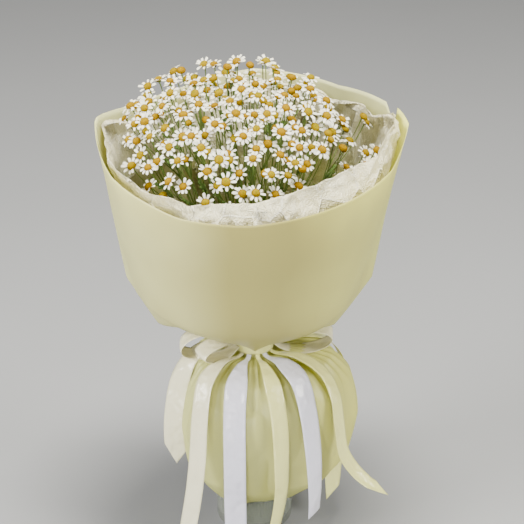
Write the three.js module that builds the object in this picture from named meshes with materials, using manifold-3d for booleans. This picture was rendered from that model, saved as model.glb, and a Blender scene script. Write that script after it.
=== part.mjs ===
// A bunch of small daisies in cream gift film, tied at the waist and standing in a glass vase.
//
// Millimetres, +Z up. The origin is the centre of the vase's foot, on the surface it stands on.
// -Y is the front, from where the bunch is looked at. The vase holds water, and the stems stand
// in it, pass through the tie and fan out into the crown of flowers. A sheet of tissue and two
// sheets of film stand round the crown as a bowl, a skirt of film falls over the vase, and a
// satin bow with seven tails ties them all.
import * as THREE from "three";
import { mergeVertices } from "three/addons/utils/BufferGeometryUtils.js";
import Module from "manifold-3d";

const wasm = await Module();
wasm.setup();

// ---------------------------------------------------------------- driving dimensions
const GAP = 0.3; // between pieces that lie on each other
const SHEET = 0.8; // thickness of film and tissue, thicker than life so that it is a sound solid
const RIBBON = 0.6; // thickness of a ribbon

const VASE_R = 45;
const VASE_WALL = 3.5;
const VASE_FLOOR = 8;
const VASE_H = 165;
const VASE_SIDES = 24;
const WATER_TOP = 108;

const TIE_Z = 245; // middle of the waist, where everything is tied
const FAN_DROP = 23; // the stems fan out from a point this far below the tie
const FAN_Z = TIE_Z - FAN_DROP;
const TIE_HALF = 6; // half the height of the twine binding

const CROWN = { x: -26, y: -8, rx: 110, ry: 98, top: 548, lean: 0.24 };
// How far the crown's edge lies below its middle: [bearing, mm] pairs.
const CROWN_DROP = [[0, 22], [45, 18], [90, 34], [135, 32], [180, 25], [225, 34], [270, 35], [320, 26]];
const FACING = { x: 0.55, y: 0.4, front: 0.36 }; // how the blooms turn outwards and to the front
const SPRAYS = 27;
const SPRAY_SPREAD = 0.92; // how far out the sprays' middles stand, as a share of the crown
const BLOOMS_PER_SPRAY = 9;
const STRAYS = [
  { x: 103, y: 41, z: 502, reach: 22, blooms: 6 },
  { x: 112, y: -24, z: 492, reach: 22, blooms: 5 },
]; // two loose sprays that lean out to the right
const CELL = 30; // how far from its spray's middle a bloom may stand
const LEVEL = 11; // the blooms stand in three levels, this far apart
const BLOOM_R = 9.6; // radius of a large bloom
const DISC_CLEAR = 4.6; // how far one disc of petals stands above another that it covers
const BALD_SHARE = 0.07; // the share of heads that have lost their petals
const SEED = 20262;

const STEM_R = 0.98;
const STALK_R = 0.8;
const STALK_ROOT = 0.35; // a stalk's radius at its root, inside the stem
const STEM_TWIST = 0.85; // radians that the stems turn round each other below the tie
const STEM_SPREAD = 2.4; // how much wider the stems stand at their cut ends than at the tie

const OUTER_LEAF_DROP = 76; // from the crown down to where a leaf leaves its stem
const INNER_LEAF_DROP = 124;

const GOLDEN = Math.PI * (3 - Math.sqrt(5));

// ---------------------------------------------------------------- small helpers
const rad = (degrees) => (degrees * Math.PI) / 180;
const vec = (x, y, z) => new THREE.Vector3(x, y, z);
const smooth = (t) => t * t * (3 - 2 * t);

// Random numbers from 0 to 1 that are the same in every run.
function seeded(seed) {
  let state = seed >>> 0;
  return () => {
    state = (state + 0x6d2b79f5) >>> 0;
    let t = Math.imul(state ^ (state >>> 15), state | 1);
    t ^= t + Math.imul(t ^ (t >>> 7), t | 61);
    return ((t ^ (t >>> 14)) >>> 0) / 4294967296;
  };
}

// A value round the bunch: [angle in degrees, value] pairs, eased from one to the next.
function around(pairs, degrees) {
  const a = ((degrees % 360) + 360) % 360;
  const n = pairs.length;
  let i = n - 1;
  for (let k = 0; k < n; k++) if (pairs[k][0] <= a) i = k;
  const from = pairs[i];
  const to = pairs[(i + 1) % n];
  const span = (to[0] - from[0] + 360) % 360 || 360;
  const t = ((a - from[0] + 360) % 360) / span;
  return from[1] + (to[1] - from[1]) * smooth(t);
}

function geometryOf(points, triangles) {
  const flat = points.flatMap((p) => [p.x, p.y, p.z]);
  const made = new THREE.BufferGeometry();
  made.setAttribute("position", new THREE.Float32BufferAttribute(flat, 3));
  made.setIndex(triangles.flat());
  return made;
}

// A geometry as a solid, for joining and cutting.
function solidOf(geometry) {
  const bare = geometry.clone();
  bare.deleteAttribute("normal");
  bare.deleteAttribute("uv");
  const merged = mergeVertices(bare, 1e-4);
  return new wasm.Manifold(
    new wasm.Mesh({
      numProp: 3,
      vertProperties: merged.attributes.position.array,
      triVerts: new Uint32Array(merged.index.array),
    }),
  );
}

function geometryOfSolid(solid) {
  const mesh = solid.getMesh();
  const made = new THREE.BufferGeometry();
  made.setAttribute("position", new THREE.BufferAttribute(mesh.vertProperties, 3));
  made.setIndex(new THREE.BufferAttribute(mesh.triVerts, 1));
  return made;
}

// A thin sheet: surface(u, v) is its outer face, v runs up, and u runs round. A closed sheet
// meets itself at u = 1.
function sheet(surface, across, up, thickness, closed) {
  const columns = closed ? across : across + 1;
  const outer = [];
  const inner = [];
  const step = 1e-3;
  for (let j = 0; j <= up; j++)
    for (let i = 0; i < columns; i++) {
      const u = i / across;
      const v = j / up;
      const p = surface(u, v);
      const along = surface(u + step, v).sub(surface(u - step, v));
      const rise = surface(u, Math.min(1, v + step)).sub(surface(u, Math.max(0, v - step)));
      const normal = along.cross(rise).normalize();
      outer.push(p);
      inner.push(p.clone().addScaledVector(normal, -thickness));
    }
  const n = outer.length;
  const triangles = [];
  const quad = (a, b, c, d) => triangles.push([a, b, c], [a, c, d]);
  const at = (i, j) => j * columns + (i % columns);
  for (let j = 0; j < up; j++)
    for (let i = 0; i < across; i++) {
      const [a, b, c, d] = [at(i, j), at(i + 1, j), at(i + 1, j + 1), at(i, j + 1)];
      quad(a, b, c, d);
      quad(n + a, n + d, n + c, n + b);
    }
  for (let i = 0; i < across; i++) {
    quad(at(i, 0), n + at(i, 0), n + at(i + 1, 0), at(i + 1, 0));
    quad(at(i, up), at(i + 1, up), n + at(i + 1, up), n + at(i, up));
  }
  if (!closed)
    for (let j = 0; j < up; j++) {
      quad(at(0, j), at(0, j + 1), n + at(0, j + 1), n + at(0, j));
      quad(at(across, j), n + at(across, j), n + at(across, j + 1), at(across, j + 1));
    }
  return geometryOf([...outer, ...inner], triangles);
}

// Two directions across an axis, kept near the given one so that rings don't twist.
function crossAxes(axis, first) {
  const e1 = first.clone().addScaledVector(axis, -first.dot(axis)).normalize();
  return [e1, axis.clone().cross(e1)];
}

// Rings of points round a path, a ring for each of its points. The first ring may be slimmer.
function ringsAlong(path, radius, sides, first, spin = 0, rootRadius = radius) {
  const last = path.length - 1;
  return path.map((p, i) => {
    const r = i ? radius : rootRadius;
    const axis = path[Math.min(last, i + 1)].clone().sub(path[Math.max(0, i - 1)]).normalize();
    const [e1, e2] = crossAxes(axis, first);
    return Array.from({ length: sides }, (_, k) => {
      const angle = spin + (2 * Math.PI * k) / sides;
      const across = e1.clone().multiplyScalar(Math.cos(angle)).addScaledVector(e2, Math.sin(angle));
      return p.clone().addScaledVector(across, r);
    });
  });
}

// The triangles between the rings of a rod whose first point has the given number.
function rodWalls(rings, start) {
  const sides = rings[0].length;
  const triangles = [];
  for (let j = 0; j + 1 < rings.length; j++)
    for (let k = 0; k < sides; k++) {
      const [a, b] = [start + j * sides + k, start + j * sides + ((k + 1) % sides)];
      triangles.push([a, b, b + sides], [a, b + sides, a + sides]);
    }
  return triangles;
}

// A closed rod of few sides along a path.
function rodGeometry(path, radius, sides, first) {
  const rings = ringsAlong(path, radius, sides, first);
  const triangles = rodWalls(rings, 0);
  const top = (rings.length - 1) * sides;
  for (let k = 1; k + 1 < sides; k++) triangles.push([0, k + 1, k], [top, top + k, top + k + 1]);
  return geometryOf(rings.flat(), triangles);
}

// A ribbon: stations of { p: middle, side: direction of its width, width }, from end to end.
// A pointed ribbon ends in a slanting cut.
function ribbon(stations, thickness, slant = 0) {
  const points = [];
  const triangles = [];
  const last = stations.length - 1;
  stations.forEach(({ p, side, width }, i) => {
    const before = stations[Math.max(0, i - 1)].p;
    const after = stations[Math.min(last, i + 1)].p;
    const along = after.clone().sub(before).normalize();
    const across = side.clone().addScaledVector(along, -side.dot(along)).normalize();
    const face = along.clone().cross(across).normalize();
    const cut = i === last ? slant : 0;
    for (const [s, f] of [[-1, -1], [1, -1], [1, 1], [-1, 1]])
      points.push(
        p
          .clone()
          .addScaledVector(across, (s * width) / 2)
          .addScaledVector(face, (f * thickness) / 2)
          .addScaledVector(along, s * cut),
      );
  });
  for (let i = 0; i < last; i++)
    for (let k = 0; k < 4; k++) {
      const [a, b] = [i * 4 + k, i * 4 + ((k + 1) % 4)];
      // Both faces are split along the same diagonal, so that they don't cross where it twists.
      if (k === 2) triangles.push([a, b, a + 4], [b, b + 4, a + 4]);
      else triangles.push([a, b, b + 4], [a, b + 4, a + 4]);
    }
  triangles.push([0, 2, 1], [0, 3, 2]);
  const e = last * 4;
  triangles.push([e, e + 1, e + 2], [e, e + 2, e + 3]);
  return geometryOf(points, triangles);
}

// A ring or cup turned round the Z axis from a closed profile of [radius, z] pairs.
function turned(profile, sides) {
  const points = [...profile, profile[0]].map(([r, z]) => new THREE.Vector2(r, z));
  const made = new THREE.LatheGeometry(points, sides);
  made.rotateX(Math.PI / 2);
  return made;
}

// ---------------------------------------------------------------- where the flowers grow
const crownHeight = (x, y) => {
  const [rx, ry] = [(x - CROWN.x) / CROWN.rx, (y - CROWN.y) / CROWN.ry];
  const drop = around(CROWN_DROP, 360 + (Math.atan2(ry, rx) * 180) / Math.PI);
  return CROWN.top - drop * (rx * rx + ry * ry) ** 2 + CROWN.lean * y;
};

// The middle of each spray, where its main stem would reach the crown.
function spraySites() {
  const sites = [];
  for (let k = 0; k < SPRAYS; k++) {
    const rho = SPRAY_SPREAD * Math.sqrt((k + 0.5) / SPRAYS);
    const x = CROWN.x + CROWN.rx * rho * Math.cos(k * GOLDEN);
    const y = CROWN.y + CROWN.ry * rho * Math.sin(k * GOLDEN);
    sites.push({ x, y, z: crownHeight(x, y), reach: CELL, blooms: BLOOMS_PER_SPRAY, stray: false });
  }
  STRAYS.forEach((s) => sites.push({ ...s, stray: true }));
  sites.forEach((s) => {
    s.u = s.x / (s.z - FAN_Z);
    s.v = s.y / (s.z - FAN_Z);
  });
  return sites;
}

// A point on a spray's main stem at height z, above the tie.
const onStem = (site, z) => vec(site.u * (z - FAN_Z), site.v * (z - FAN_Z), z);

const distanceToSegment = (p, a, b) => {
  const d = b.clone().sub(a);
  const t = Math.min(1, Math.max(0, p.clone().sub(a).dot(d) / d.lengthSq()));
  return a.clone().addScaledVector(d, t).distanceTo(p);
};

// The least distance between two segments, looked for at a few steps along one of them.
function segmentGap(a, b, c, d) {
  let best = Infinity;
  for (let i = 0; i <= 8; i++)
    best = Math.min(best, distanceToSegment(a.clone().lerp(b, i / 8), c, d));
  return best;
}

// True if a stalk passes through a bloom's disc of petals.
function pierces(stalk, bloom) {
  for (let i = 0; i + 1 < stalk.length; i++) {
    const from = stalk[i].clone().sub(bloom.centre).dot(bloom.normal);
    const to = stalk[i + 1].clone().sub(bloom.centre).dot(bloom.normal);
    if (from * to < 0) {
      const p = stalk[i].clone().lerp(stalk[i + 1], from / (from - to));
      if (p.distanceTo(bloom.centre) < bloom.r + 1.2) return true;
    }
    if (distanceToSegment(bloom.centre, stalk[i], stalk[i + 1]) < 7) return true;
  }
  return false;
}

// True if two discs of petals meet.
function discsMeet(a, b) {
  const apart = b.centre.clone().sub(a.centre);
  if (apart.length() > a.r + b.r + 0.8) return false;
  const mean = a.normal.clone().add(b.normal).normalize();
  const lean = Math.sin(a.normal.angleTo(b.normal)) * Math.max(a.r, b.r);
  return Math.abs(apart.dot(mean)) < DISC_CLEAR + lean;
}

const stalksMeet = (a, b) => {
  for (let i = 0; i < 2; i++)
    for (let j = 0; j < 2; j++)
      if (segmentGap(a[i], a[i + 1], b[j], b[j + 1]) < 2 * STALK_R + 0.9) return true;
  return false;
};

// Draws one bloom for a spray, or null if its place isn't in the spray's own share of the crown.
function drawBloom(random, sites, index) {
  const site = sites[index];
  const distance = site.reach * Math.sqrt(random());
  const bearing = 2 * Math.PI * random();
  const level = Math.floor(3 * random());
  const shift = 4 * (random() - 0.5);
  const size = random();
  const lean = [random() - 0.5, random() - 0.5];
  const droop = random();
  const joint = random();
  const spin = random();
  const age = random();
  const x = site.x + distance * Math.cos(bearing);
  const y = site.y + distance * Math.sin(bearing);
  const z = (site.stray ? site.z : crownHeight(x, y)) - LEVEL * level + shift;
  const [rx, ry] = [(x - CROWN.x) / CROWN.rx, (y - CROWN.y) / CROWN.ry];
  if (!site.stray && rx * rx + ry * ry > 1) return null;
  const [u, v] = [x / (z - FAN_Z), y / (z - FAN_Z)];
  const own = Math.hypot(u - site.u, v - site.v);
  if (sites.some((s) => s !== site && Math.hypot(u - s.u, v - s.v) < own + 0.008)) return null;
  const centre = vec(x, y, z);
  const outward = [FACING.x * rx, FACING.y * ry - FACING.front];
  const normal = vec(outward[0] + 0.7 * lean[0], outward[1] + 0.7 * lean[1], 1).normalize();
  const jointZ = z - 48 - 34 * joint;
  const root = onStem(site, jointZ);
  const neck = centre.clone().addScaledVector(normal, -NECK_H);
  // The stalk leaves the stem outwards and then turns up to its bloom.
  const elbowZ = jointZ + 0.55 * (z - jointZ);
  const elbow = vec(u * (elbowZ - FAN_Z), v * (elbowZ - FAN_Z), elbowZ);
  const middle = root.clone().lerp(elbow, 0.5).lerp(elbow.clone().lerp(neck, 0.5), 0.5);
  return {
    spray: index,
    centre,
    normal,
    r: BLOOM_R * (0.84 + 0.24 * size),
    droop: -0.12 + 0.5 * droop * droop,
    spin: 2 * Math.PI * spin,
    bald: age < BALD_SHARE,
    stalk: [root, middle, neck],
  };
}

function growBlooms(sites) {
  const random = seeded(SEED);
  const blooms = [];
  const fits = (b) =>
    blooms.every(
      (a) =>
        !discsMeet(a, b) &&
        !pierces(b.stalk, a) &&
        !pierces(a.stalk, b) &&
        (a.spray === b.spray || !stalksMeet(a.stalk, b.stalk)),
    );
  for (let round = 0; round < BLOOMS_PER_SPRAY; round++)
    sites.forEach((site, index) => {
      if (round >= site.blooms) return;
      for (let attempt = 0; attempt < 600; attempt++) {
        const bloom = drawBloom(random, sites, index);
        if (bloom && fits(bloom)) {
          blooms.push(bloom);
          return;
        }
      }
    });
  return blooms;
}

// ---------------------------------------------------------------- one bloom and its stalk
const PETALS = 4;
const DISC_SHARE = 0.42; // the yellow disc's radius as a share of the bloom's
const DOME_H = 3.6;
const NECK_H = 2.6; // from the foot of the disc down to where the stalk starts
const PETAL_GAP = 0.17; // share of its sector that a petal leaves open on either side of its tip

function bloomGeometry({ centre, normal, r, droop, spin, bald, stalk }) {
  const first = Math.abs(normal.x) < 0.9 ? vec(1, 0, 0) : vec(0, 1, 0);
  const [t1, t2] = crossAxes(normal, first);
  const disc = DISC_SHARE * r;
  const sector = (2 * Math.PI) / PETALS;
  // The stalk is a three-sided rod from its root up. Its last ring closes the bloom's underside.
  const rings = ringsAlong(stalk, STALK_R, 3, t1, spin, STALK_ROOT);
  const points = rings.flat();
  const triangles = [[0, 2, 1], ...rodWalls(rings, 0)];
  const neck = points.length - 3;
  const place = (radius, angle, height) => {
    const p = centre.clone().addScaledVector(normal, height);
    p.addScaledVector(t1, radius * Math.cos(angle)).addScaledVector(t2, radius * Math.sin(angle));
    return points.push(p) - 1;
  };
  const apex = place(0, 0, DOME_H);
  // Round the bloom: the notch between two petals, then the tip's two corners, and so on.
  const edge = [];
  for (let i = 0; i < PETALS; i++) {
    const tip = -droop * (r - disc);
    const notch = place(disc, spin + i * sector, 0);
    edge.push({ at: notch, angle: i * sector });
    if (bald) continue;
    const [from, to] = [(i + PETAL_GAP) * sector, (i + 1 - PETAL_GAP) * sector];
    edge.push({ at: place(r, spin + from, tip), angle: from }, { at: place(r, spin + to, tip), angle: to });
  }
  const step = bald ? 1 : 3;
  for (let i = 0; i < edge.length; i += step) {
    const [notch, next] = [edge[i].at, edge[(i + step) % edge.length].at];
    triangles.push([notch, next, apex]);
    if (bald) continue;
    const [left, right] = [edge[i + 1].at, edge[i + 2].at];
    triangles.push([notch, left, right], [notch, right, next]);
  }
  // The underside joins the edge to the stalk's three corners, going round both at once.
  const corner = (k) => neck + (k % 3);
  let k = 0;
  for (let i = 0; i < edge.length; i++) {
    const next = edge[(i + 1) % edge.length];
    const angle = i + 1 < edge.length ? next.angle : 2 * Math.PI;
    triangles.push([edge[i].at, corner(k), next.at]);
    if (k < 3 && angle > rad(120 * k + 60)) {
      triangles.push([next.at, corner(k), corner(k + 1)]);
      k++;
    }
  }
  return geometryOf(points, triangles);
}

// ---------------------------------------------------------------- stems and leaves
// A main stem's points: its cut end in the vase, the tie, and the top of the stem.
function stemPoints(site, topZ) {
  const tie = onStem(site, TIE_Z);
  const turn = new THREE.Matrix4().makeRotationZ(STEM_TWIST);
  const foot = vec(tie.x * STEM_SPREAD, tie.y * STEM_SPREAD, 0).applyMatrix4(turn);
  foot.z = VASE_FLOOR + GAP;
  return [foot, tie, onStem(site, topZ)];
}

const stemSolid = (path, radius) => solidOf(rodGeometry(path, radius, 4, vec(1, 0, 0)));

// A leaf with cut edges, 0.7 mm thick, from its root at the origin along +Y.
const LEAF_OUTLINE = [[0.7, 0], [5, 12], [1.9, 14], [4.6, 21], [0, 30]];
function leafGeometry(length) {
  const k = length / 30;
  const outline = new THREE.Shape();
  outline.moveTo(LEAF_OUTLINE[0][0] * k, 0);
  LEAF_OUTLINE.slice(1).forEach(([x, y]) => outline.lineTo(x * k, y * k));
  [...LEAF_OUTLINE].reverse().slice(1).forEach(([x, y]) => outline.lineTo(-x * k, y * k));
  return new THREE.ExtrudeGeometry(outline, { depth: 0.7, bevelEnabled: false }).translate(0, 0, -0.35);
}

// Where a spray's leaf leaves its stem. The outer sprays' leaves stand higher and point outwards.
function leafOf(site, index) {
  const outer = index >= SPRAYS / 2;
  return {
    z: site.z - (outer ? OUTER_LEAF_DROP : INNER_LEAF_DROP),
    bearing: Math.atan2(site.v, site.u) + (outer ? 0.5 : -0.5) * Math.sin(index * 2.4),
    lean: outer ? 0.6 : 0.3,
    length: 27 + 3 * Math.cos(index * 1.7),
  };
}

function leafSolid(site, leaf) {
  const root = onStem(site, leaf.z);
  const axis = vec(site.u, site.v, 1).normalize();
  const outwards = vec(Math.cos(leaf.bearing), Math.sin(leaf.bearing), 0);
  const [e1] = crossAxes(axis, outwards);
  const along = axis.clone().multiplyScalar(Math.cos(leaf.lean)).addScaledVector(e1, Math.sin(leaf.lean));
  const across = axis.clone().cross(e1).normalize();
  const face = across.clone().cross(along);
  const place = new THREE.Matrix4().makeBasis(across, along, face).setPosition(root);
  return solidOf(leafGeometry(leaf.length).applyMatrix4(place));
}

function spraySolid(site, index, blooms) {
  const topZ = Math.max(...blooms.map((b) => b.stalk[0].z)) + 1;
  return wasm.Manifold.union([
    stemSolid(stemPoints(site, topZ), STEM_R),
    ...blooms.map((b) => solidOf(bloomGeometry(b))),
    leafSolid(site, leafOf(site, index)),
  ]);
}

// ---------------------------------------------------------------- vase, water and tie
const vase = turned(
  [
    [0, 0], [VASE_R - 2, 0], [VASE_R, 2], [VASE_R, VASE_H], [VASE_R - VASE_WALL, VASE_H],
    [VASE_R - VASE_WALL, VASE_FLOOR], [0, VASE_FLOOR],
  ],
  VASE_SIDES,
);

function waterSolid(sites) {
  const r = VASE_R - VASE_WALL - GAP;
  const [low, high] = [VASE_FLOOR + GAP, WATER_TOP];
  const body = solidOf(turned([[0, low], [r, low], [r, high], [0, high]], VASE_SIDES));
  const holes = sites.map((site) => {
    const [foot, tie] = stemPoints(site, TIE_Z + 1);
    const along = tie.clone().sub(foot);
    const from = foot.clone().addScaledVector(along, -0.05);
    const to = foot.clone().addScaledVector(along, 0.6);
    return stemSolid([from, to], STEM_R + 0.6);
  });
  return body.subtract(wasm.Manifold.union(holes));
}

// Radii of what is wound round the stems at the waist, from the inside out.
const TWINE_IN = 12.6; // at its lower edge
const TWINE_FLARE = 2; // how much wider its upper edge is, where the stems fan out
const TWINE_OUT = 15.6;
const TISSUE_NECK = TWINE_OUT + GAP + SHEET;
const BACK_NECK = TISSUE_NECK + GAP + SHEET;
const FRONT_NECK = BACK_NECK + GAP + SHEET;
const SKIRT_NECK = FRONT_NECK + GAP + SHEET;
const TAIL_NECK = SKIRT_NECK + GAP + RIBBON / 2 + 0.1;
const BAND_IN = TAIL_NECK + RIBBON / 2 + 0.6;
const BAND_OUT = BAND_IN + 1;

const twine = turned(
  [
    [TWINE_IN, TIE_Z - TIE_HALF], [TWINE_OUT, TIE_Z - TIE_HALF], [TWINE_OUT, TIE_Z + TIE_HALF],
    [TWINE_IN + TWINE_FLARE, TIE_Z + TIE_HALF],
  ],
  16,
);

// ---------------------------------------------------------------- film and tissue round the flowers
// The bowl of film: its rim, the widest ring of its foot and the fold under it, by bearing.
const RIM_R = [
  [0, 158], [23, 152], [56, 145], [90, 136], [126, 140], [151, 146], [180, 166], [208, 161], [230, 156],
  [270, 155], [307, 157], [332, 160], [352, 163],
];
const RIM_Z = [
  [0, 521], [23, 512], [50, 506], [90, 516], [125, 503], [150, 500], [178, 516], [190, 502], [207, 486],
  [230, 477], [270, 474], [307, 486], [332, 495], [350, 521],
];
const KNEE_R = [[0, 130], [90, 116], [180, 141], [270, 128]];
const KNEE_Z = 326;
const FOLD_R = [[0, 95], [22, 86], [90, 80], [158, 88], [180, 108], [203, 88], [270, 78], [338, 85]];
const FOLD_Z = [[0, 270], [90, 275], [180, 264], [222, 285], [270, 282], [318, 284]];
const NECK_LOW = TIE_Z - 9;
const NECK_HIGH = TIE_Z + 9;

const polar = (r, degrees, z) => vec(r * Math.cos(rad(degrees)), r * Math.sin(rad(degrees)), z);

// A point on a profile of [radius, z] stations, evenly numbered from v = 0 to v = 1.
function onProfile(stations, v) {
  const at = Math.min(stations.length - 1.000001, Math.max(0, v * (stations.length - 1)));
  const i = Math.floor(at);
  const t = at - i;
  return [0, 1].map((k) => stations[i][k] + (stations[i + 1][k] - stations[i][k]) * t);
}

function bowlStations(degrees, neck) {
  const [rimR, rimZ] = [around(RIM_R, degrees), around(RIM_Z, degrees)];
  const kneeR = around(KNEE_R, degrees);
  const fold = [around(FOLD_R, degrees), around(FOLD_Z, degrees)];
  const middle = [0.52 * kneeR + 0.48 * rimR + 2, 0.5 * (KNEE_Z + rimZ)];
  return [[neck, NECK_LOW], [neck, NECK_HIGH], fold, [kneeR, KNEE_Z], middle, [rimR, rimZ]];
}
const BOWL_ROWS = 5;
const BOWL_STEP = 10; // degrees between the folds of the film

function bowlPoint(degrees, v) {
  const [r, z] = onProfile(bowlStations(degrees, FRONT_NECK), v);
  return polar(r, degrees, z);
}

const BACK_DEPTH = SHEET + 1.25 * GAP; // how far the back film lies inside the front film
const NOTCH = 0.05; // share of the back film's height that is cut off at its right corner
const NOTCH_WIDTH = 10; // degrees

// Film from one bearing to another, lying a given depth inside the bowl's outer face. Its first
// corner may be cut away by a slanting notch.
function filmSheet(from, to, depth, notch) {
  const surface = (u, v) => {
    const degrees = from + (to - from) * u;
    const cut = notch * Math.max(0, v * BOWL_ROWS - (BOWL_ROWS - 1));
    const p = bowlPoint(degrees, v - cut * Math.max(0, 1 - (degrees - from) / NOTCH_WIDTH));
    const along = bowlPoint(degrees + 1, v).sub(bowlPoint(degrees - 1, v));
    const rise = bowlPoint(degrees, Math.min(1, v + 0.01)).sub(bowlPoint(degrees, Math.max(0, v - 0.01)));
    return p.addScaledVector(along.cross(rise).normalize(), -depth);
  };
  return sheet(surface, Math.round((to - from) / BOWL_STEP), BOWL_ROWS, SHEET, false);
}

// The tissue stands inside the film, above its rim in front and just below it behind.
const TISSUE_RISE = [
  [0, -6], [30, -14], [90, -8], [150, -9], [185, 4], [200, 12], [215, 2], [240, 14], [270, 19],
  [310, 17], [340, 10],
];
const TISSUE_LEAN = [
  [0, 10], [60, 9], [120, 9], [180, 11], [200, 11], [215, 9], [240, 14], [270, 19], [310, 22],
  [340, 18],
];
const TISSUE_COLUMNS = 32;
const TISSUE_ROWS = 5;

function tissueSurface(u, v) {
  const degrees = 360 * u;
  const bowl = bowlStations(degrees, TISSUE_NECK);
  const [rimR, rimZ] = bowl[BOWL_ROWS];
  const [kneeR] = bowl[3];
  const crease = 1.6 * Math.sin(rad(degrees) * 13) + 1.2 * Math.sin(rad(degrees) * 7 + 1);
  const r = rimR - around(TISSUE_LEAN, degrees);
  const z = rimZ + around(TISSUE_RISE, degrees);
  const stations = [
    [TISSUE_NECK, NECK_LOW], [TISSUE_NECK, NECK_HIGH + 1], [0.66 * kneeR, KNEE_Z + 6],
    [0.5 * (kneeR + rimR) - 9 + 0.6 * crease, 0.5 * (KNEE_Z + rimZ)],
    [rimR - 9 + crease, rimZ - 16], [r + crease, z + crease],
  ];
  const [pr, pz] = onProfile(stations, v);
  return polar(pr, degrees, pz);
}

// ---------------------------------------------------------------- skirt of film over the vase
const SKIRT_PLEATS = 8;
const SKIRT_COLUMNS = SKIRT_PLEATS * 4;
// [radius, z, share of the lopsided plan, depth of the pleats]
const SKIRT_PROFILE = [
  [SKIRT_NECK, 252, 0, 0], [SKIRT_NECK, 231, 0, 0], [66, 228, 0.9, 2.5], [89, 200, 1, 3.5],
  [98, 148, 1, 3.5], [90, 95, 1, 3.2], [60, 56, 0.25, 2],
];

function skirtSurface(u, v) {
  const angle = -2 * Math.PI * u;
  const at = Math.min(SKIRT_PROFILE.length - 1.000001, Math.max(0, v * (SKIRT_PROFILE.length - 1)));
  const i = Math.floor(at);
  const [r, z, share, depth] = [0, 1, 2, 3].map(
    (k) => SKIRT_PROFILE[i][k] + (SKIRT_PROFILE[i + 1][k] - SKIRT_PROFILE[i][k]) * (at - i),
  );
  const plan = 1 + share * (-0.045 + 0.15 * Math.cos(angle) + 0.045 * Math.cos(2 * angle));
  const pleat = depth * Math.cos(SKIRT_PLEATS * angle + 0.8 * Math.sin(angle * 2));
  return vec((r * plan + pleat) * Math.cos(angle), (r * plan + pleat) * Math.sin(angle), z);
}

// ---------------------------------------------------------------- bow and tails
const BAND_LOW = TIE_Z - 8;
const BAND_HIGH = TIE_Z + 7;
const LOOP_WIDTH = 24;
const LOOP_ROOT_WIDTH = 9;

// One loop of the bow, from the band out and back. Its two ends sink into the band.
const LOOP_START = 0.3; // radians of its round that a loop leaves out where it meets the band
const LOOP_STEPS = 8;
const LOOP_SINK = 0.5;
const LOOP_RISE = 1; // how far above the tie a loop leaves the band

function loopSolid(bearing, length, height, sag) {
  const out = polar(1, bearing, 0);
  const stations = [];
  for (let i = 0; i <= LOOP_STEPS; i++) {
    const t = LOOP_START + ((2 * Math.PI - 2 * LOOP_START) * i) / LOOP_STEPS;
    const open = (Math.cos(LOOP_START) - Math.cos(t)) / 2;
    const p = out.clone().multiplyScalar(BAND_OUT - LOOP_SINK + length * open);
    p.setZ(TIE_Z + LOOP_RISE + 0.5 * height * Math.sin(t) - sag * open * open);
    const width = LOOP_ROOT_WIDTH + (LOOP_WIDTH - LOOP_ROOT_WIDTH) * Math.min(1, 2 * open);
    stations.push({ p, side: polar(1, bearing + 90, 0), width });
  }
  return solidOf(ribbon(stations, RIBBON));
}

function bowSolid() {
  const profile = [[BAND_IN, BAND_LOW], [BAND_OUT, BAND_LOW], [BAND_OUT, BAND_HIGH], [BAND_IN, BAND_HIGH]];
  return wasm.Manifold.union([
    solidOf(turned(profile, 18)),
    loopSolid(184, 72, 19, 12),
    loopSolid(208, 50, 12, -5),
    loopSolid(-2, 62, 18, -4),
  ]);
}

// The tails: the bearing where each leaves the waist, then the points that its middle passes. A
// tail may turn its face by some degrees as it comes down, over a number of steps.
const TAILS = {
  tail_cream_left: {
    bearing: 178, width: 25, slant: 11, turn: 60, turnSteps: 6,
    points: [
      [-40, 0, 234], [-68, -5, 226], [-85, -18, 208], [-93, -30, 170], [-94, -35, 130], [-91, -34, 84],
    ],
  },
  tail_cream_front_left: {
    bearing: 232, width: 22, slant: 7, turn: 0, turnSteps: 1,
    points: [
      [-38, -44, 239], [-54, -68, 228], [-60, -88, 194], [-65, -98, 150], [-72, -101, 96], [-82, -103, 14],
    ],
  },
  tail_white_left: {
    bearing: 256, width: 25, slant: 0, turn: 0, turnSteps: 1,
    points: [
      [-13, -48, 239], [-19, -76, 230], [-21, -96, 198], [-21, -105, 150], [-21, -106, 96], [-20, -106, 8],
    ],
  },
  tail_cream_middle: {
    bearing: 281, width: 20, slant: 8, turn: 0, turnSteps: 1,
    points: [[12, -50, 239], [22, -76, 229], [30, -96, 196], [34, -105, 150], [33, -106, 96], [16, -106, 16]],
  },
  tail_white_right: {
    bearing: 303, width: 25, slant: 0, turn: 0, turnSteps: 1,
    points: [[34, -46, 239], [50, -68, 229], [59, -87, 196], [65, -97, 150], [68, -98, 105], [69, -98, 72]],
  },
  tail_cream_right: {
    bearing: 330, width: 19, slant: 12, turn: 0, turnSteps: 1,
    points: [
      [55, -30, 239], [81, -44, 228], [96, -58, 196], [103, -67, 150], [109, -72, 112], [122, -76, 90],
      [139, -78, 82],
    ],
  },
  tail_cream_back: {
    bearing: 20, width: 25, slant: 12, turn: -50, turnSteps: 12,
    points: [
      [52, 20, 234], [84, 31, 227], [110, 32, 196], [118, 28, 150], [117, 16, 100], [101, 0, 66],
      [88, -16, 30],
    ],
  },
};

const TAIL_ROOT_WIDTH = 5; // gathered where the bow ties it

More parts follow.
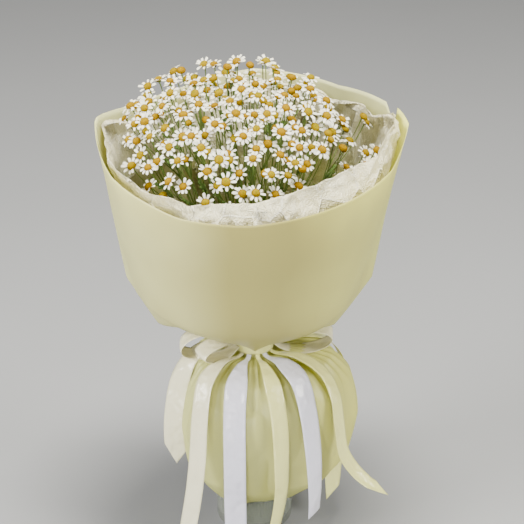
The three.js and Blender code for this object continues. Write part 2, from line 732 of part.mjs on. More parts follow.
function tailGeometry({ bearing, width, slant, turn, turnSteps, points }) {
  const tangent = polar(1, bearing + 90, 0);
  const start = [[TAIL_NECK, 249], [TAIL_NECK, 236]].map(([r, z]) => polar(r, bearing, z));
  const route = [...start, polar(TAIL_NECK + 7, bearing, 234.5), ...points.map((p) => vec(...p))];
  const smoothRoute = new THREE.CatmullRomCurve3(route.slice(2), false, "centripetal").getPoints(8);
  const whole = [...start, ...smoothRoute];
  const stations = whole.map((p, i) => {
    const away = vec(p.x, p.y, 0).normalize();
    const open = smooth(Math.min(1, Math.max(0, (i - 2) / 3)));
    const side = i < 3 ? tangent : vec(-away.y, away.x, 0);
    side.applyAxisAngle(vec(0, 0, 1), rad(turn) * smooth(Math.min(1, Math.max(0, i - 3) / turnSteps)));
    return { p, side, width: TAIL_ROOT_WIDTH + (width - TAIL_ROOT_WIDTH) * open };
  });
  return ribbon(stations, RIBBON, slant);
}

// ---------------------------------------------------------------- the whole bunch
const finish = {
  glass: { color: 0xd7ded6, roughness: 0.05, metalness: 0, transparent: true, opacity: 0.35 },
  water: { color: 0xc9d2c4, roughness: 0.02, metalness: 0, transparent: true, opacity: 0.4 },
  twine: { color: 0xb9a06a, roughness: 0.9, metalness: 0 },
  daisy: { color: 0xf2f1e6, roughness: 0.7, metalness: 0 },
  tissue: { color: 0xefeadb, roughness: 0.85, metalness: 0 },
  film: { color: 0xe6e1b8, roughness: 0.45, metalness: 0 },
  cream: { color: 0xece6bf, roughness: 0.35, metalness: 0 },
  white: { color: 0xe9e8ee, roughness: 0.35, metalness: 0 },
};

const bunch = new THREE.Group();
function addPiece(name, geometry, look) {
  const mesh = new THREE.Mesh(geometry, new THREE.MeshStandardMaterial(finish[look]));
  mesh.name = name;
  bunch.add(mesh);
}

const sites = spraySites();
const blooms = growBlooms(sites);

addPiece("vase", vase, "glass");
addPiece("water", geometryOfSolid(waterSolid(sites)), "water");
addPiece("twine", twine, "twine");
sites.forEach((site, index) => {
  const own = blooms.filter((b) => b.spray === index);
  const name = "spray_" + String(index + 1).padStart(2, "0");
  addPiece(name, geometryOfSolid(spraySolid(site, index, own)), "daisy");
});
addPiece("tissue", sheet(tissueSurface, TISSUE_COLUMNS, TISSUE_ROWS, SHEET, true), "tissue");
addPiece("film_back", filmSheet(10, 190, BACK_DEPTH, NOTCH), "film");
addPiece("film_front", filmSheet(170, 370, 0, 0), "film");
addPiece("film_skirt", sheet(skirtSurface, SKIRT_COLUMNS, SKIRT_PROFILE.length - 1, SHEET, true), "film");
addPiece("bow", geometryOfSolid(bowSolid()), "cream");
for (const [name, tail] of Object.entries(TAILS))
  addPiece(name, tailGeometry(tail), name.includes("white") ? "white" : "cream");

export default bunch;
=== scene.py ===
# %% [markdown]
# # A bunch of daisies in film, tissue and satin
#
# The solids of the bunch come in as a fixed frame: their places and sizes are right, but they
# are plain. This script puts the looks on them. Each flower gets its ring of petals and its disc
# of florets, each sheet gets its creases, and each surface gets a material of its own.
#
# The frame is in metres, with +Z up and the front towards -Y.

# %% Frame and libraries
import math

import bpy
from mathutils import Matrix, Vector, noise


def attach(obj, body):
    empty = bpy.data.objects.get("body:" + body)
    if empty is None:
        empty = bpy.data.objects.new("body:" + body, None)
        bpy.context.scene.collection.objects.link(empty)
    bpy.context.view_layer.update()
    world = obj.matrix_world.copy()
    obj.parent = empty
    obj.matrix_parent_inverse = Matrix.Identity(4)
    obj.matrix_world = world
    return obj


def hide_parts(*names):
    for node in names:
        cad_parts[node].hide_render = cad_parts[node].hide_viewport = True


MM = 0.001
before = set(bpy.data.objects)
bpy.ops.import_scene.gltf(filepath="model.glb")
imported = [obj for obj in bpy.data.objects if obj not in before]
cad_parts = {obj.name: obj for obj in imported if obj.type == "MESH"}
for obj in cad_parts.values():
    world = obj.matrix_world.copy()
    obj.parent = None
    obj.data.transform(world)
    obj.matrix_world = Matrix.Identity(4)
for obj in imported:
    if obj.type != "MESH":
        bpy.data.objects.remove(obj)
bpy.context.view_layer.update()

# %% [markdown]
# ## A small language for node trees
#
# Materials and Geometry Nodes are both trees of nodes. Writing them node by node is long, so one
# class wraps a socket and lets Python's operators add the Math nodes, and one method adds any
# other node. A number that needs no node is worked out in Python.

# %% Wires and trees
def operator(name, swapped=False):
    """A method for one of Python's operators, which adds its Math node."""

    def apply(wire, other):
        return wire.tree.math(name, *((other, wire) if swapped else (wire, other)))

    return apply


class Wire:
    """A node's output, which can be used in an expression."""

    def __init__(self, tree, socket):
        self.tree = tree
        self.socket = socket

    __add__, __radd__ = operator("ADD"), operator("ADD", swapped=True)
    __sub__, __rsub__ = operator("SUBTRACT"), operator("SUBTRACT", swapped=True)
    __mul__, __rmul__ = operator("MULTIPLY"), operator("MULTIPLY", swapped=True)
    __truediv__, __rtruediv__ = operator("DIVIDE"), operator("DIVIDE", swapped=True)


class Tree:
    """Adds nodes to a node tree, and joins them."""

    def __init__(self, group):
        self.group = group

    def add(self, kind, settings=None, values=(), out=0, **inputs):
        """A node: its settings are made first, then its sockets are filled. Gives one output.

        values fill the sockets in their order, inputs fill them by name, with _ for a space.
        """
        node = self.group.nodes.new(kind)
        for key, value in (settings or {}).items():
            if key == "stops":
                self.set_stops(node.color_ramp, value)
            else:
                setattr(node, key, value)
        for key, value in [*enumerate(values), *inputs.items()]:
            self.plug(self.find(node.inputs, key), value)
        return Wire(self, self.find(node.outputs, out))

    def find(self, sockets, key):
        used = [s for s in sockets if s.enabled]
        if isinstance(key, int):
            return used[key]
        return next(s for s in used if s.name == key.replace("_", " "))

    def plug(self, socket, value):
        for each in value if isinstance(value, list) else [value]:
            if isinstance(each, Wire):
                self.group.links.new(each.socket, socket)
            else:
                socket.default_value = each

    def set_stops(self, ramp, stops):
        while len(ramp.elements) < len(stops):
            ramp.elements.new(1.0)
        for element, (position, colour) in zip(ramp.elements, stops):
            element.position = position
            element.color = paint(colour)

    def axes(self, where):
        """X, Y and Z of a vector."""
        node = self.group.nodes.new("ShaderNodeSeparateXYZ")
        self.plug(node.inputs[0], where)
        return [Wire(self, socket) for socket in node.outputs]

    def combine(self, x, y, z):
        return self.add("ShaderNodeCombineXYZ", X=x, Y=y, Z=z)

    def math(self, operation, *values):
        return self.add("ShaderNodeMath", {"operation": operation}, values)

    def vector(self, operation, *values):
        return self.add("ShaderNodeVectorMath", {"operation": operation}, values)

    def mix(self, factor, a, b):
        settings = {"data_type": "RGBA"}
        return self.add("ShaderNodeMix", settings, out="Result", Factor=factor, A=paint(a), B=paint(b))

    def ramp(self, factor, stops):
        return self.add("ShaderNodeValToRGB", {"stops": stops}, out="Color", Fac=factor)


def paint(value):
    """A colour as a socket takes it: three numbers get their alpha, a wire stays."""
    return value if isinstance(value, Wire) else (*value, 1.0)

# %% [markdown]
# ## Where the flowers grow
#
# The stems and blooms stand where a rule puts them, and the solids were grown by the same rule.
# Growing them again here, with the same random numbers, gives every bloom's centre, direction and
# stalk, so a fine bloom can stand just where its plain one does. The rule works in millimetres.
#
# The middles of the sprays lie on a golden-angle spiral over the crown. Each bloom is a dart
# thrown near its spray's middle, and it stays if no other bloom or stalk is in its way.

# %% Driving dimensions of the plant
TIE_Z = 245.0
FAN_Z = TIE_Z - 23.0
VASE_FLOOR = 8.0
GAP = 0.3
CROWN_X, CROWN_Y = -26.0, -8.0
CROWN_RX, CROWN_RY = 110.0, 98.0
CROWN_TOP, CROWN_LEAN = 548.0, 0.24
CROWN_DROP = [(0, 22), (45, 18), (90, 34), (135, 32), (180, 25), (225, 34), (270, 35), (320, 26)]
FACING_X, FACING_Y, FACING_FRONT = 0.55, 0.4, 0.36
SPRAYS = 27
SPRAY_SPREAD = 0.92
BLOOMS_PER_SPRAY = 9
STRAYS = [(103.0, 41.0, 502.0, 22.0, 6), (112.0, -24.0, 492.0, 22.0, 5)]
CELL = 30.0
LEVEL = 11.0
BLOOM_R = 9.6
DISC_CLEAR = 4.6
BORDER = 0.008  # how much nearer to its own stem than to any other a bloom leans
BALD_SHARE = 0.07
SEED = 20262
TRIES = 600  # throws for each bloom
STALK_R = 0.8
STEM_TWIST = 0.85
STEM_SPREAD = 2.4
OUTER_LEAF_DROP, INNER_LEAF_DROP = 76.0, 124.0
NECK_H = 2.6
GOLDEN = math.pi * (3 - math.sqrt(5))


# %% Vectors as plain triples, and the seeded random numbers
def add(a, b, k=1.0):
    return (a[0] + b[0] * k, a[1] + b[1] * k, a[2] + b[2] * k)


def dot(a, b):
    return a[0] * b[0] + a[1] * b[1] + a[2] * b[2]


def lerp(a, b, t):
    return (a[0] + (b[0] - a[0]) * t, a[1] + (b[1] - a[1]) * t, a[2] + (b[2] - a[2]) * t)


def apart(a, b):
    return math.sqrt((a[0] - b[0]) ** 2 + (a[1] - b[1]) ** 2 + (a[2] - b[2]) ** 2)


def unit(a):
    k = math.sqrt(dot(a, a))
    return (a[0] / k, a[1] / k, a[2] / k)


def seeded(seed):
    """Random numbers from 0 to 1 that are the same in every run, and the same as the solids'."""
    state = [seed & 0xFFFFFFFF]

    def draw():
        state[0] = (state[0] + 0x6D2B79F5) & 0xFFFFFFFF
        s = state[0]
        t = ((s ^ (s >> 15)) * (s | 1)) & 0xFFFFFFFF
        t ^= (t + ((t ^ (t >> 7)) * (t | 61))) & 0xFFFFFFFF
        return ((t ^ (t >> 14)) & 0xFFFFFFFF) / 4294967296

    return draw


# %% A value that changes round the bunch
def clamp(t):
    return min(1.0, max(0.0, t))


def straight(t):
    return t


def smooth(t):
    return t * t * (3 - 2 * t)


def around(pairs, degrees, ease=smooth):
    """A value round the bunch: (bearing, value) pairs, eased from one to the next."""
    a = degrees % 360
    n = len(pairs)
    i = max((k for k in range(n) if pairs[k][0] <= a), default=n - 1)
    start, end = pairs[i], pairs[(i + 1) % n]
    span = (end[0] - start[0]) % 360 or 360
    return start[1] + (end[1] - start[1]) * ease(((a - start[0]) % 360) / span)


# %% The sprays' middles
def crown_height(x, y):
    rx, ry = (x - CROWN_X) / CROWN_RX, (y - CROWN_Y) / CROWN_RY
    drop = around(CROWN_DROP, 360 + math.degrees(math.atan2(ry, rx)))
    return CROWN_TOP - drop * (rx * rx + ry * ry) ** 2 + CROWN_LEAN * y


def spray_sites():
    """Every spray's middle, with u and v, the lean of its stem."""
    rows = []
    for k in range(SPRAYS):
        rho = SPRAY_SPREAD * math.sqrt((k + 0.5) / SPRAYS)
        x = CROWN_X + CROWN_RX * rho * math.cos(k * GOLDEN)
        y = CROWN_Y + CROWN_RY * rho * math.sin(k * GOLDEN)
        rows.append((x, y, crown_height(x, y), CELL, BLOOMS_PER_SPRAY))
    sites = []
    for k, (x, y, z, reach, blooms) in enumerate(rows + STRAYS):
        u, v = x / (z - FAN_Z), y / (z - FAN_Z)
        sites.append(dict(x=x, y=y, z=z, u=u, v=v, reach=reach, blooms=blooms, stray=k >= SPRAYS))
    return sites


def on_stem(site, z):
    return (site["u"] * (z - FAN_Z), site["v"] * (z - FAN_Z), z)


# %% What keeps two flowers apart
STALK_TO_PETALS = 1.2  # how far a stalk stays outside a ring of petals that it crosses
STALK_TO_CENTRE = 7.0
STALK_TO_STALK = 0.9
PETALS_TO_PETALS = 0.8


def to_segment(p, a, b):
    d = add(b, a, -1)
    return apart(add(a, d, clamp(dot(add(p, a, -1), d) / dot(d, d))), p)


def segment_gap(a, b, c, d):
    return min(to_segment(lerp(a, b, i / 8), c, d) for i in range(9))


def ball_of(stalk):
    """A ball round a stalk, to tell at once that something is far from it."""
    middle = lerp(stalk[0], stalk[2], 0.5)
    return middle, max(apart(middle, p) for p in stalk)


def pierces(one, bloom):
    """True if one's stalk passes through bloom's disc of petals."""
    middle, reach = one["ball"]
    centre, r = bloom["centre"], bloom["r"]
    if apart(middle, centre) > reach + r + STALK_TO_CENTRE + 1:
        return False
    for p, q in zip(one["stalk"], one["stalk"][1:]):
        start, end = (dot(add(spot, centre, -1), bloom["normal"]) for spot in (p, q))
        crosses = start * end < 0
        if crosses and apart(lerp(p, q, start / (start - end)), centre) < r + STALK_TO_PETALS:
            return True
        if to_segment(centre, p, q) < STALK_TO_CENTRE:
            return True
    return False


def discs_meet(a, b):
    between = add(b["centre"], a["centre"], -1)
    if math.sqrt(dot(between, between)) > a["r"] + b["r"] + PETALS_TO_PETALS:
        return False
    mean = unit(add(a["normal"], b["normal"]))
    angle = math.acos(max(-1.0, min(1.0, dot(a["normal"], b["normal"]))))
    lean = math.sin(angle) * max(a["r"], b["r"])
    return abs(dot(between, mean)) < DISC_CLEAR + lean


def stalks_meet(a, b):
    if apart(a["ball"][0], b["ball"][0]) > a["ball"][1] + b["ball"][1] + 4:
        return False
    return any(
        segment_gap(*a["stalk"][i : i + 2], *b["stalk"][j : j + 2]) < 2 * STALK_R + STALK_TO_STALK
        for i in range(2)
        for j in range(2)
    )


# %% One throw, and the whole crown
def draw_bloom(random, sites, index):
    site = sites[index]
    distance = site["reach"] * math.sqrt(random())
    bearing = 2 * math.pi * random()
    level = math.floor(3 * random())
    shift = 4 * (random() - 0.5)
    size = random()
    lean = (random() - 0.5, random() - 0.5)
    droop, joint, spin, age = random(), random(), random(), random()
    x = site["x"] + distance * math.cos(bearing)
    y = site["y"] + distance * math.sin(bearing)
    z = (site["z"] if site["stray"] else crown_height(x, y)) - LEVEL * level + shift
    rx, ry = (x - CROWN_X) / CROWN_RX, (y - CROWN_Y) / CROWN_RY
    if not site["stray"] and rx * rx + ry * ry > 1:
        return None
    u, v = x / (z - FAN_Z), y / (z - FAN_Z)
    own = math.hypot(u - site["u"], v - site["v"])
    if any(s is not site and math.hypot(u - s["u"], v - s["v"]) < own + BORDER for s in sites):
        return None
    centre = (x, y, z)
    outward = (FACING_X * rx, FACING_Y * ry - FACING_FRONT)
    normal = unit((outward[0] + 0.7 * lean[0], outward[1] + 0.7 * lean[1], 1.0))
    joint_z = z - 48 - 34 * joint
    root = on_stem(site, joint_z)
    neck = add(centre, normal, -NECK_H)
    elbow_z = joint_z + 0.55 * (z - joint_z)
    elbow = (u * (elbow_z - FAN_Z), v * (elbow_z - FAN_Z), elbow_z)
    middle = lerp(lerp(root, elbow, 0.5), lerp(elbow, neck, 0.5), 0.5)
    stalk = (root, middle, neck)
    return dict(
        spray=index,
        centre=centre,
        normal=normal,
        r=BLOOM_R * (0.84 + 0.24 * size),
        droop=-0.12 + 0.5 * droop * droop,
        spin=2 * math.pi * spin,
        bald=age < BALD_SHARE,
        stalk=stalk,
        ball=ball_of(stalk),
    )


def fits(b, blooms):
    for a in blooms:
        if discs_meet(a, b) or pierces(b, a) or pierces(a, b):
            return False
        if a["spray"] != b["spray"] and stalks_meet(a, b):
            return False
    return True


def grow_blooms(sites):
    random = seeded(SEED)
    blooms = []
    for turn in range(BLOOMS_PER_SPRAY):
        for index, site in enumerate(sites):
            if turn >= site["blooms"]:
                continue
            for _attempt in range(TRIES):
                bloom = draw_bloom(random, sites, index)
                if bloom and fits(bloom, blooms):
                    blooms.append(bloom)
                    break
    return blooms


SITES = spray_sites()
BLOOMS = grow_blooms(SITES)
print("sprays", len(SITES), "blooms", len(BLOOMS))

# %% [markdown]
# ## Materials of the plant
#
# A petal is white with faint lengthwise veins, a little green where it leaves the disc, and thin
# enough to let light through. The mesh carries an attribute, `along`, that runs from the petal's
# root to its tip, so the colour follows each petal wherever it is turned.

# %% Material helpers
def new_material(name):
    material = bpy.data.materials.new(name)
    material.use_nodes = True
    material.node_tree.nodes.clear()
    return material, Tree(material.node_tree)


def attribute(tree, name):
    return tree.add("ShaderNodeAttribute", {"attribute_name": name}, out="Fac")


def object_position(tree):
    return tree.add("ShaderNodeTexCoord", out="Object")


def noise_on(tree, where, scale, detail=3.0, roughness=0.5):
    sizes = dict(Scale=scale, Detail=detail, Roughness=roughness)
    return tree.add("ShaderNodeTexNoise", out="Fac", Vector=where, **sizes)


def bands_on(tree, where, direction, **sizes):
    settings = {"wave_type": "BANDS", "bands_direction": direction}
    return tree.add("ShaderNodeTexWave", settings, out="Fac", Vector=where, **sizes)


def stretched(tree, where, scale):
    return tree.add("ShaderNodeMapping", Vector=where, Scale=scale)


def bump(tree, height, strength, distance, **under):
    sizes = dict(Height=height, Strength=strength, Distance=distance)
    return tree.add("ShaderNodeBump", out="Normal", **sizes, **under)


def surface(tree, shader):
    output = tree.group.nodes.new("ShaderNodeOutputMaterial")
    tree.plug(output.inputs["Surface"], shader)


def principled(tree, **inputs):
    return tree.add("ShaderNodeBsdfPrincipled", out="BSDF", **inputs)


def thin(tree, shader, glow, share):
    """The shader mixed with light that comes through from behind, as in a petal or paper."""
    through = tree.add("ShaderNodeBsdfTranslucent", out="BSDF", Color=paint(glow))
    return tree.add("ShaderNodeMixShader", values=(share, shader, through))


# %% Petal, disc and green
PETAL_TONES = [(0.0, (0.66, 0.70, 0.34)), (0.14, (0.88, 0.88, 0.74)), (0.4, (0.95, 0.93, 0.83))]
RIPE_TONES = [(0.0, (0.25, 0.175, 0.0)), (0.45, (0.31, 0.168, 0.0)), (1.0, (0.14, 0.06, 0.0))]
YOUNG_TONES = [(0.0, (0.16, 0.18, 0.0)), (0.5, (0.30, 0.22, 0.0)), (1.0, (0.19, 0.12, 0.0))]


def petal_material():
    material, tree = new_material("petal_white")
    along, across = attribute(tree, "along"), attribute(tree, "across")
    grain = noise_on(tree, object_position(tree), 900.0)
    colour = tree.mix(grain * 0.12, tree.ramp(along, PETAL_TONES), (0.80, 0.80, 0.70))
    veins = tree.math("SINE", across * 14.0)
    normal = bump(tree, veins * 0.5 + grain * 0.3, 0.35, 0.0002)
    body = principled(tree, Base_Color=colour, Roughness=0.5, Normal=normal, Specular_IOR_Level=0.35)
    surface(tree, thin(tree, body, (0.94, 0.94, 0.82), 0.25))
    return material


def disc_material():
    material, tree = new_material("disc_yellow")
    rim, tone = attribute(tree, "rim"), attribute(tree, "tone")
    grain = noise_on(tree, object_position(tree), 700.0, 4.0)
    colour = tree.mix(tone, tree.ramp(rim, RIPE_TONES), tree.ramp(rim, YOUNG_TONES))
    colour = tree.mix(grain * 0.4, colour, (0.40, 0.275, 0.0))
    normal = bump(tree, grain, 0.5, 0.0003)
    surface(tree, principled(tree, Base_Color=colour, Roughness=0.8, Normal=normal, Specular_IOR_Level=0.06))
    return material


def green_material(name, low, high):
    material, tree = new_material(name)
    where = object_position(tree)
    tone = noise_on(tree, where, 60.0)
    ribs = noise_on(tree, stretched(tree, where, (1.0, 1.0, 0.06)), 1400.0)
    colour = tree.mix(tone, low, high)
    normal = bump(tree, ribs, 0.4, 0.0003)
    body = principled(tree, Base_Color=colour, Roughness=0.55, Normal=normal, Specular_IOR_Level=0.4)
    surface(tree, thin(tree, body, high, 0.15))
    return material


PETAL = petal_material()
DISC = disc_material()
STEM = green_material("stem_green", (0.035, 0.07, 0.012), (0.24, 0.33, 0.07))
LEAF = green_material("leaf_green", (0.04, 0.09, 0.015), (0.19, 0.32, 0.06))

# %% [markdown]
# ## The small pieces of a bloom
#
# A petal is a blunt tongue with two shallow grooves and a notched tip, closed all round so that
# it is a real thin solid. It is made once, one unit long, and copied by Geometry Nodes. The disc
# is a dome, set with florets: tiny knobs on a golden-angle spiral, as they grow on the flower.
# Such a piece is repeated hundreds of times, so it has only a few dozen faces.

# %% Mesh helpers
def link(name, data):
    """A new object in the scene."""
    made = bpy.data.objects.new(name, data)
    bpy.context.scene.collection.objects.link(made)
    return made


def plain_result(piece):
    """What the modifiers make of a piece, as a plain mesh."""
    return bpy.data.meshes.new_from_object(piece.evaluated_get(bpy.context.evaluated_depsgraph_get()))


def store(mesh, label, numbers, kind="FLOAT"):
    """A value on each point of a mesh."""
    layer = mesh.attributes.new(label, kind, "POINT")
    layer.data.foreach_set("vector" if kind == "FLOAT_VECTOR" else "value", numbers)


def mesh_object(name, points, faces, values=None, edges=None):
    """An object of its own mesh, linked to the scene. values are point attributes by name."""
    mesh = bpy.data.meshes.new(name)
    mesh.from_pydata([tuple(p) for p in points], edges or [], faces)
    for label, numbers in (values or {}).items():
        store(mesh, label, numbers)
    mesh.validate()
    mesh.update()
    return link(name, mesh)


def in_metres(points):
    return [tuple(c * MM for c in p) for p in points]


def shade_smooth(piece):
    piece.data.polygons.foreach_set("use_smooth", [True] * len(piece.data.polygons))
    return piece


def grid_faces(rows, columns, closed=False):
    """Quads of a grid of points that is numbered row by row."""
    faces = []
    for j in range(0, (rows - 1) * columns, columns):
        for i in range(columns if closed else columns - 1):
            k = (i + 1) % columns
            faces.append((j + i, j + k, j + columns + k, j + columns + i))
    return faces


def blade(name, top, columns, thick, values=None, units=list):
    """A thin solid from the grid of its upper side: the same grid lies below, and the edge is closed."""
    n, rows = len(top), len(top) // columns
    points = units(top + [(x, y, z - thick) for x, y, z in top])
    faces = grid_faces(rows, columns)
    faces += [tuple(n + i for i in reversed(f)) for f in faces]
    edge = list(range(columns)) + [j * columns + columns - 1 for j in range(1, rows)]
    edge += [(rows - 1) * columns + i for i in range(columns - 2, -1, -1)]
    edge += [j * columns for j in range(rows - 2, 0, -1)]
    faces += [(a, n + a, n + b, b) for a, b in zip(edge, edge[1:] + edge[:1])]
    return shade_smooth(mesh_object(name, points, faces, values))


# %% One petal
PETAL_ROWS = [0.0, 0.2, 0.45, 0.72, 0.92, 1.0]
PETAL_WIDTHS = [0.50, 0.70, 0.92, 1.0, 0.86, 0.42]
PETAL_COLUMNS = 5
PETAL_HALF = 0.146
PETAL_ROOT = 0.30
PETAL_THICK = 0.022


def make_petal(droop):
    points, along, across = [], [], []
    for s, width in zip(PETAL_ROWS, PETAL_WIDTHS):
        for i in range(PETAL_COLUMNS):
            t = 2 * i / (PETAL_COLUMNS - 1) - 1
            notch = (0.06 * t * t - 0.05 * abs(t)) * s**4
            groove = (0.014 * math.cos(math.pi * 2 * t) + 0.05 * t * t) * min(1.0, 2 * s)
            z = 0.02 + 0.05 * math.sin(math.pi * s * 0.9) - droop * s * s * 0.6 + groove
            points.append((PETAL_ROOT + (1 - PETAL_ROOT) * (s - notch), PETAL_HALF * width * t, z))
            along.append(s)
            across.append(t)
    values = {"along": along * 2, "across": across * 2}
    return blade(f"petal_{droop:.2f}", points, PETAL_COLUMNS, PETAL_THICK, values)


# %% The disc's dome, one floret and the calyx
DOME_H = 0.84
DOME_FOOT = 0.04
DOME_SIDES = 12
DOME_RINGS = [math.radians(degrees) for degrees in (22, 44, 66)]
FLORET = [(0, -0.5), (0.5, -0.3), (0.62, 0.25), (0, 0.7)]
CALYX = [(0, -0.30), (0.10, -0.29), (0.17, -0.21), (0.34, -0.10), (0.43, -0.02), (0.40, 0.01), (0, 0.01)]


def turned(name, profile, sides, values=None):
    """A closed shape turned round Z from (radius, height) pairs. It starts and ends on the axis."""
    bearings = [2 * math.pi * k / sides for k in range(sides)]
    rings = len(profile) - 2
    points = [(0.0, 0.0, profile[0][1])]
    for r, z in profile[1:-1]:
        points += [(r * math.cos(a), r * math.sin(a), z) for a in bearings]
    points.append((0.0, 0.0, profile[-1][1]))
    faces = [tuple(1 + i for i in face) for face in grid_faces(rings, sides, closed=True)]
    last, top = 1 + (rings - 1) * sides, len(points) - 1
    for k in range(sides):
        after = (k + 1) % sides
        faces += [(0, 1 + after, 1 + k), (last + k, last + after, top)]
    return shade_smooth(mesh_object(name, points, faces, values))


def make_dome():
    profile = [(0, -0.12), (0.9, -0.10), (1.0, DOME_FOOT)]
    profile += [(math.cos(a), DOME_FOOT + (DOME_H - DOME_FOOT) * math.sin(a)) for a in DOME_RINGS]
    profile.append((0, DOME_H))
    rim = [1.0] * (1 + 2 * DOME_SIDES)
    for a in DOME_RINGS:
        rim += [math.cos(a)] * DOME_SIDES
    return turned("disc_dome", profile, DOME_SIDES, {"rim": rim + [0.0]})

# %% [markdown]
# ## A head, by Geometry Nodes
#
# The tree sets petals round a circle with a little disorder, a spiral of florets over the dome,
# and a calyx below. Its inputs are the number of petals, the radius and a seed, so a few
# different heads come from one tree. A whole spray then picks among them.

# %% Geometry Nodes helpers
def geometry_tree(name, inputs):
    """A new tree. Its inputs are label: (socket type, default)."""
    group = bpy.data.node_groups.new(name, "GeometryNodeTree")
    for way in ("INPUT", "OUTPUT"):
        group.interface.new_socket("Geometry", in_out=way, socket_type="NodeSocketGeometry")
    for label, (kind, default) in inputs.items():
        socket = group.interface.new_socket(label, in_out="INPUT", socket_type=f"NodeSocket{kind}")
        if default is not None:
            socket.default_value = default
    tree = Tree(group)
    entry = group.nodes.new("NodeGroupInput")
    return group, tree, {s.name: Wire(tree, s) for s in entry.outputs if s.name}


def join(tree, *parts):
    return tree.add("GeometryNodeJoinGeometry", Geometry=list(parts))


def finish_tree(tree, *parts):
    """Joins the parts, makes their instances real and gives them out."""
    whole = tree.add("GeometryNodeRealizeInstances", Geometry=join(tree, *parts))
    tree.plug(tree.group.nodes.new("NodeGroupOutput").inputs[0], whole)


def run_tree(source, group, values, name):
    """Puts the tree on an object, sets its inputs by identifier and returns the plain result."""
    modifier = source.modifiers.new("nodes", "NODES")
    modifier.node_group = group
    identifiers = {s.name: s.identifier for s in group.interface.items_tree if s.in_out == "INPUT"}
    for label, value in values.items():
        modifier[identifiers[label]] = value
    bpy.context.view_layer.update()
    mesh = plain_result(source)
    mesh.name = name
    source.modifiers.remove(modifier)
    return link(name, mesh)


def of_object(tree, wire):
    return tree.add("GeometryNodeObjectInfo", out="Geometry", Object=wire, As_Instance=True)


def sized(tree, wire, size):
    """An object's shape, scaled alike in all directions."""
    scale = tree.combine(size, size, size)
    return tree.add("GeometryNodeTransform", Geometry=of_object(tree, wire), Scale=scale)


def copies(tree, points, source, rotation, scale, **more):
    turn = dict(Rotation=rotation, Scale=scale)
    return tree.add("GeometryNodeInstanceOnPoints", Points=points, Instance=source, **turn, **more)


def random_value(tree, low, high, seed):
    return tree.add("FunctionNodeRandomValue", {"data_type": "FLOAT"}, Min=low, Max=high, Seed=seed)


def rotation(tree, euler):
    return tree.add("FunctionNodeEulerToRotation", Euler=euler)


def with_material(tree, geometry, material):
    return tree.add("GeometryNodeSetMaterial", Geometry=geometry, Material=material)


# %% The tree of a head
DISC_SHARE = 0.50
FLORETS = 64
FLORET_SHARE = 0.15  # a floret's size as a share of the disc's radius


def head_tree():
    inputs = {label: ("Object", None) for label in ("Petal", "Dome", "Floret", "Calyx")}
    inputs |= {"Petals": ("Int", 12), "Florets": ("Int", FLORETS)}
    inputs |= {"Radius": ("Float", 0.01), "Seed": ("Int", 1)}
    group, tree, given = geometry_tree("flower_head", inputs)
    radius, seed = given["Radius"], given["Seed"]
    index = tree.add("GeometryNodeInputIndex")
    # Petals: all start at the axis, each turned to its own bearing.
    points = tree.add("GeometryNodePoints", Count=given["Petals"], Position=(0.0, 0.0, 0.0))
    bearing = index / given["Petals"] * (2 * math.pi) + random_value(tree, -0.13, 0.13, seed)
    tilt = random_value(tree, -0.26, 0.20, seed + 1.0)
    roll = random_value(tree, -0.4, 0.4, seed + 2.0)
    length = radius * random_value(tree, 0.94, 1.14, seed + 3.0)
    turns = rotation(tree, tree.combine(roll, tilt, bearing))
    petals = with_material(tree, copies(tree, points, of_object(tree, given["Petal"]), turns, length), PETAL)
    # The dome, and florets on a golden-angle spiral over it.
    disc = radius * DISC_SHARE
    out = tree.math("SQRT", (index + 0.6) / given["Florets"])
    turn = index * GOLDEN
    x, y = tree.math("COSINE", turn) * out * disc, tree.math("SINE", turn) * out * disc
    place = tree.combine(x, y, tree.math("SQRT", 1.0 - out * out * 0.96) * disc * DOME_H)
    spiral = tree.add("GeometryNodePoints", Count=given["Florets"], Position=place)
    settings = {"data_type": "FLOAT", "domain": "POINT"}
    spiral = tree.add("GeometryNodeStoreNamedAttribute", settings, Geometry=spiral, Name="rim", Value=out)
    turns = rotation(tree, tree.combine(0.0, out * 1.15, turn))
    florets = copies(tree, spiral, of_object(tree, given["Floret"]), turns, disc * FLORET_SHARE)
    yellow = with_material(tree, join(tree, florets, sized(tree, given["Dome"], disc)), DISC)
    calyx = with_material(tree, sized(tree, given["Calyx"], radius), STEM)
    finish_tree(tree, petals, yellow, calyx)
    return group


# %% A set of heads to pick from
HEAD_R = 10.3 * MM
DROOPS = [-0.12, 0.0, 0.14, 0.32]
PETAL_COUNTS = [10, 9, 11, 8]


def make_heads():
    """A head for each droop and number of petals. The last head has lost its petals."""
    group = head_tree()
    shapes = {"Dome": make_dome(), "Floret": turned("floret", FLORET, 5), "Calyx": turned("calyx", CALYX, 9)}
    point = mesh_object("start", [(0, 0, 0)], [])
    kinds = [(row, column) for row in range(len(DROOPS)) for column in range(len(PETAL_COUNTS))]
    heads = []
    for row, column in kinds + [(0, None)]:
        petal = make_petal(DROOPS[row])
        values = dict(shapes, Petal=petal, Petals=0, Radius=HEAD_R)
        if column is not None:
            values |= dict(Petals=PETAL_COUNTS[column], Seed=7 * row + 31 * column + 5)
        heads.append(run_tree(point, group, values, f"head_{len(heads):02d}"))
        bpy.data.objects.remove(petal)
    for spare in [point, *shapes.values()]:
        bpy.data.objects.remove(spare)
    return heads


HEADS = make_heads()
print("heads", len(HEADS), "faces", len(HEADS[0].data.polygons))

# %% [markdown]
# ## A spray
#
# A spray is one cut stem with its side stalks, a feathery leaf and its heads. The stems are drawn
# as curves with a radius at each point. One Geometry Nodes tree thickens the curves, sets a head
# on each point that carries a direction, and joins the lot.

# %% Stem and stalk paths
STEM_POINTS = 26
STALK_POINTS = 9
TIE_BEND = 24.0  # the height over which a stem's bend at the tie is eased


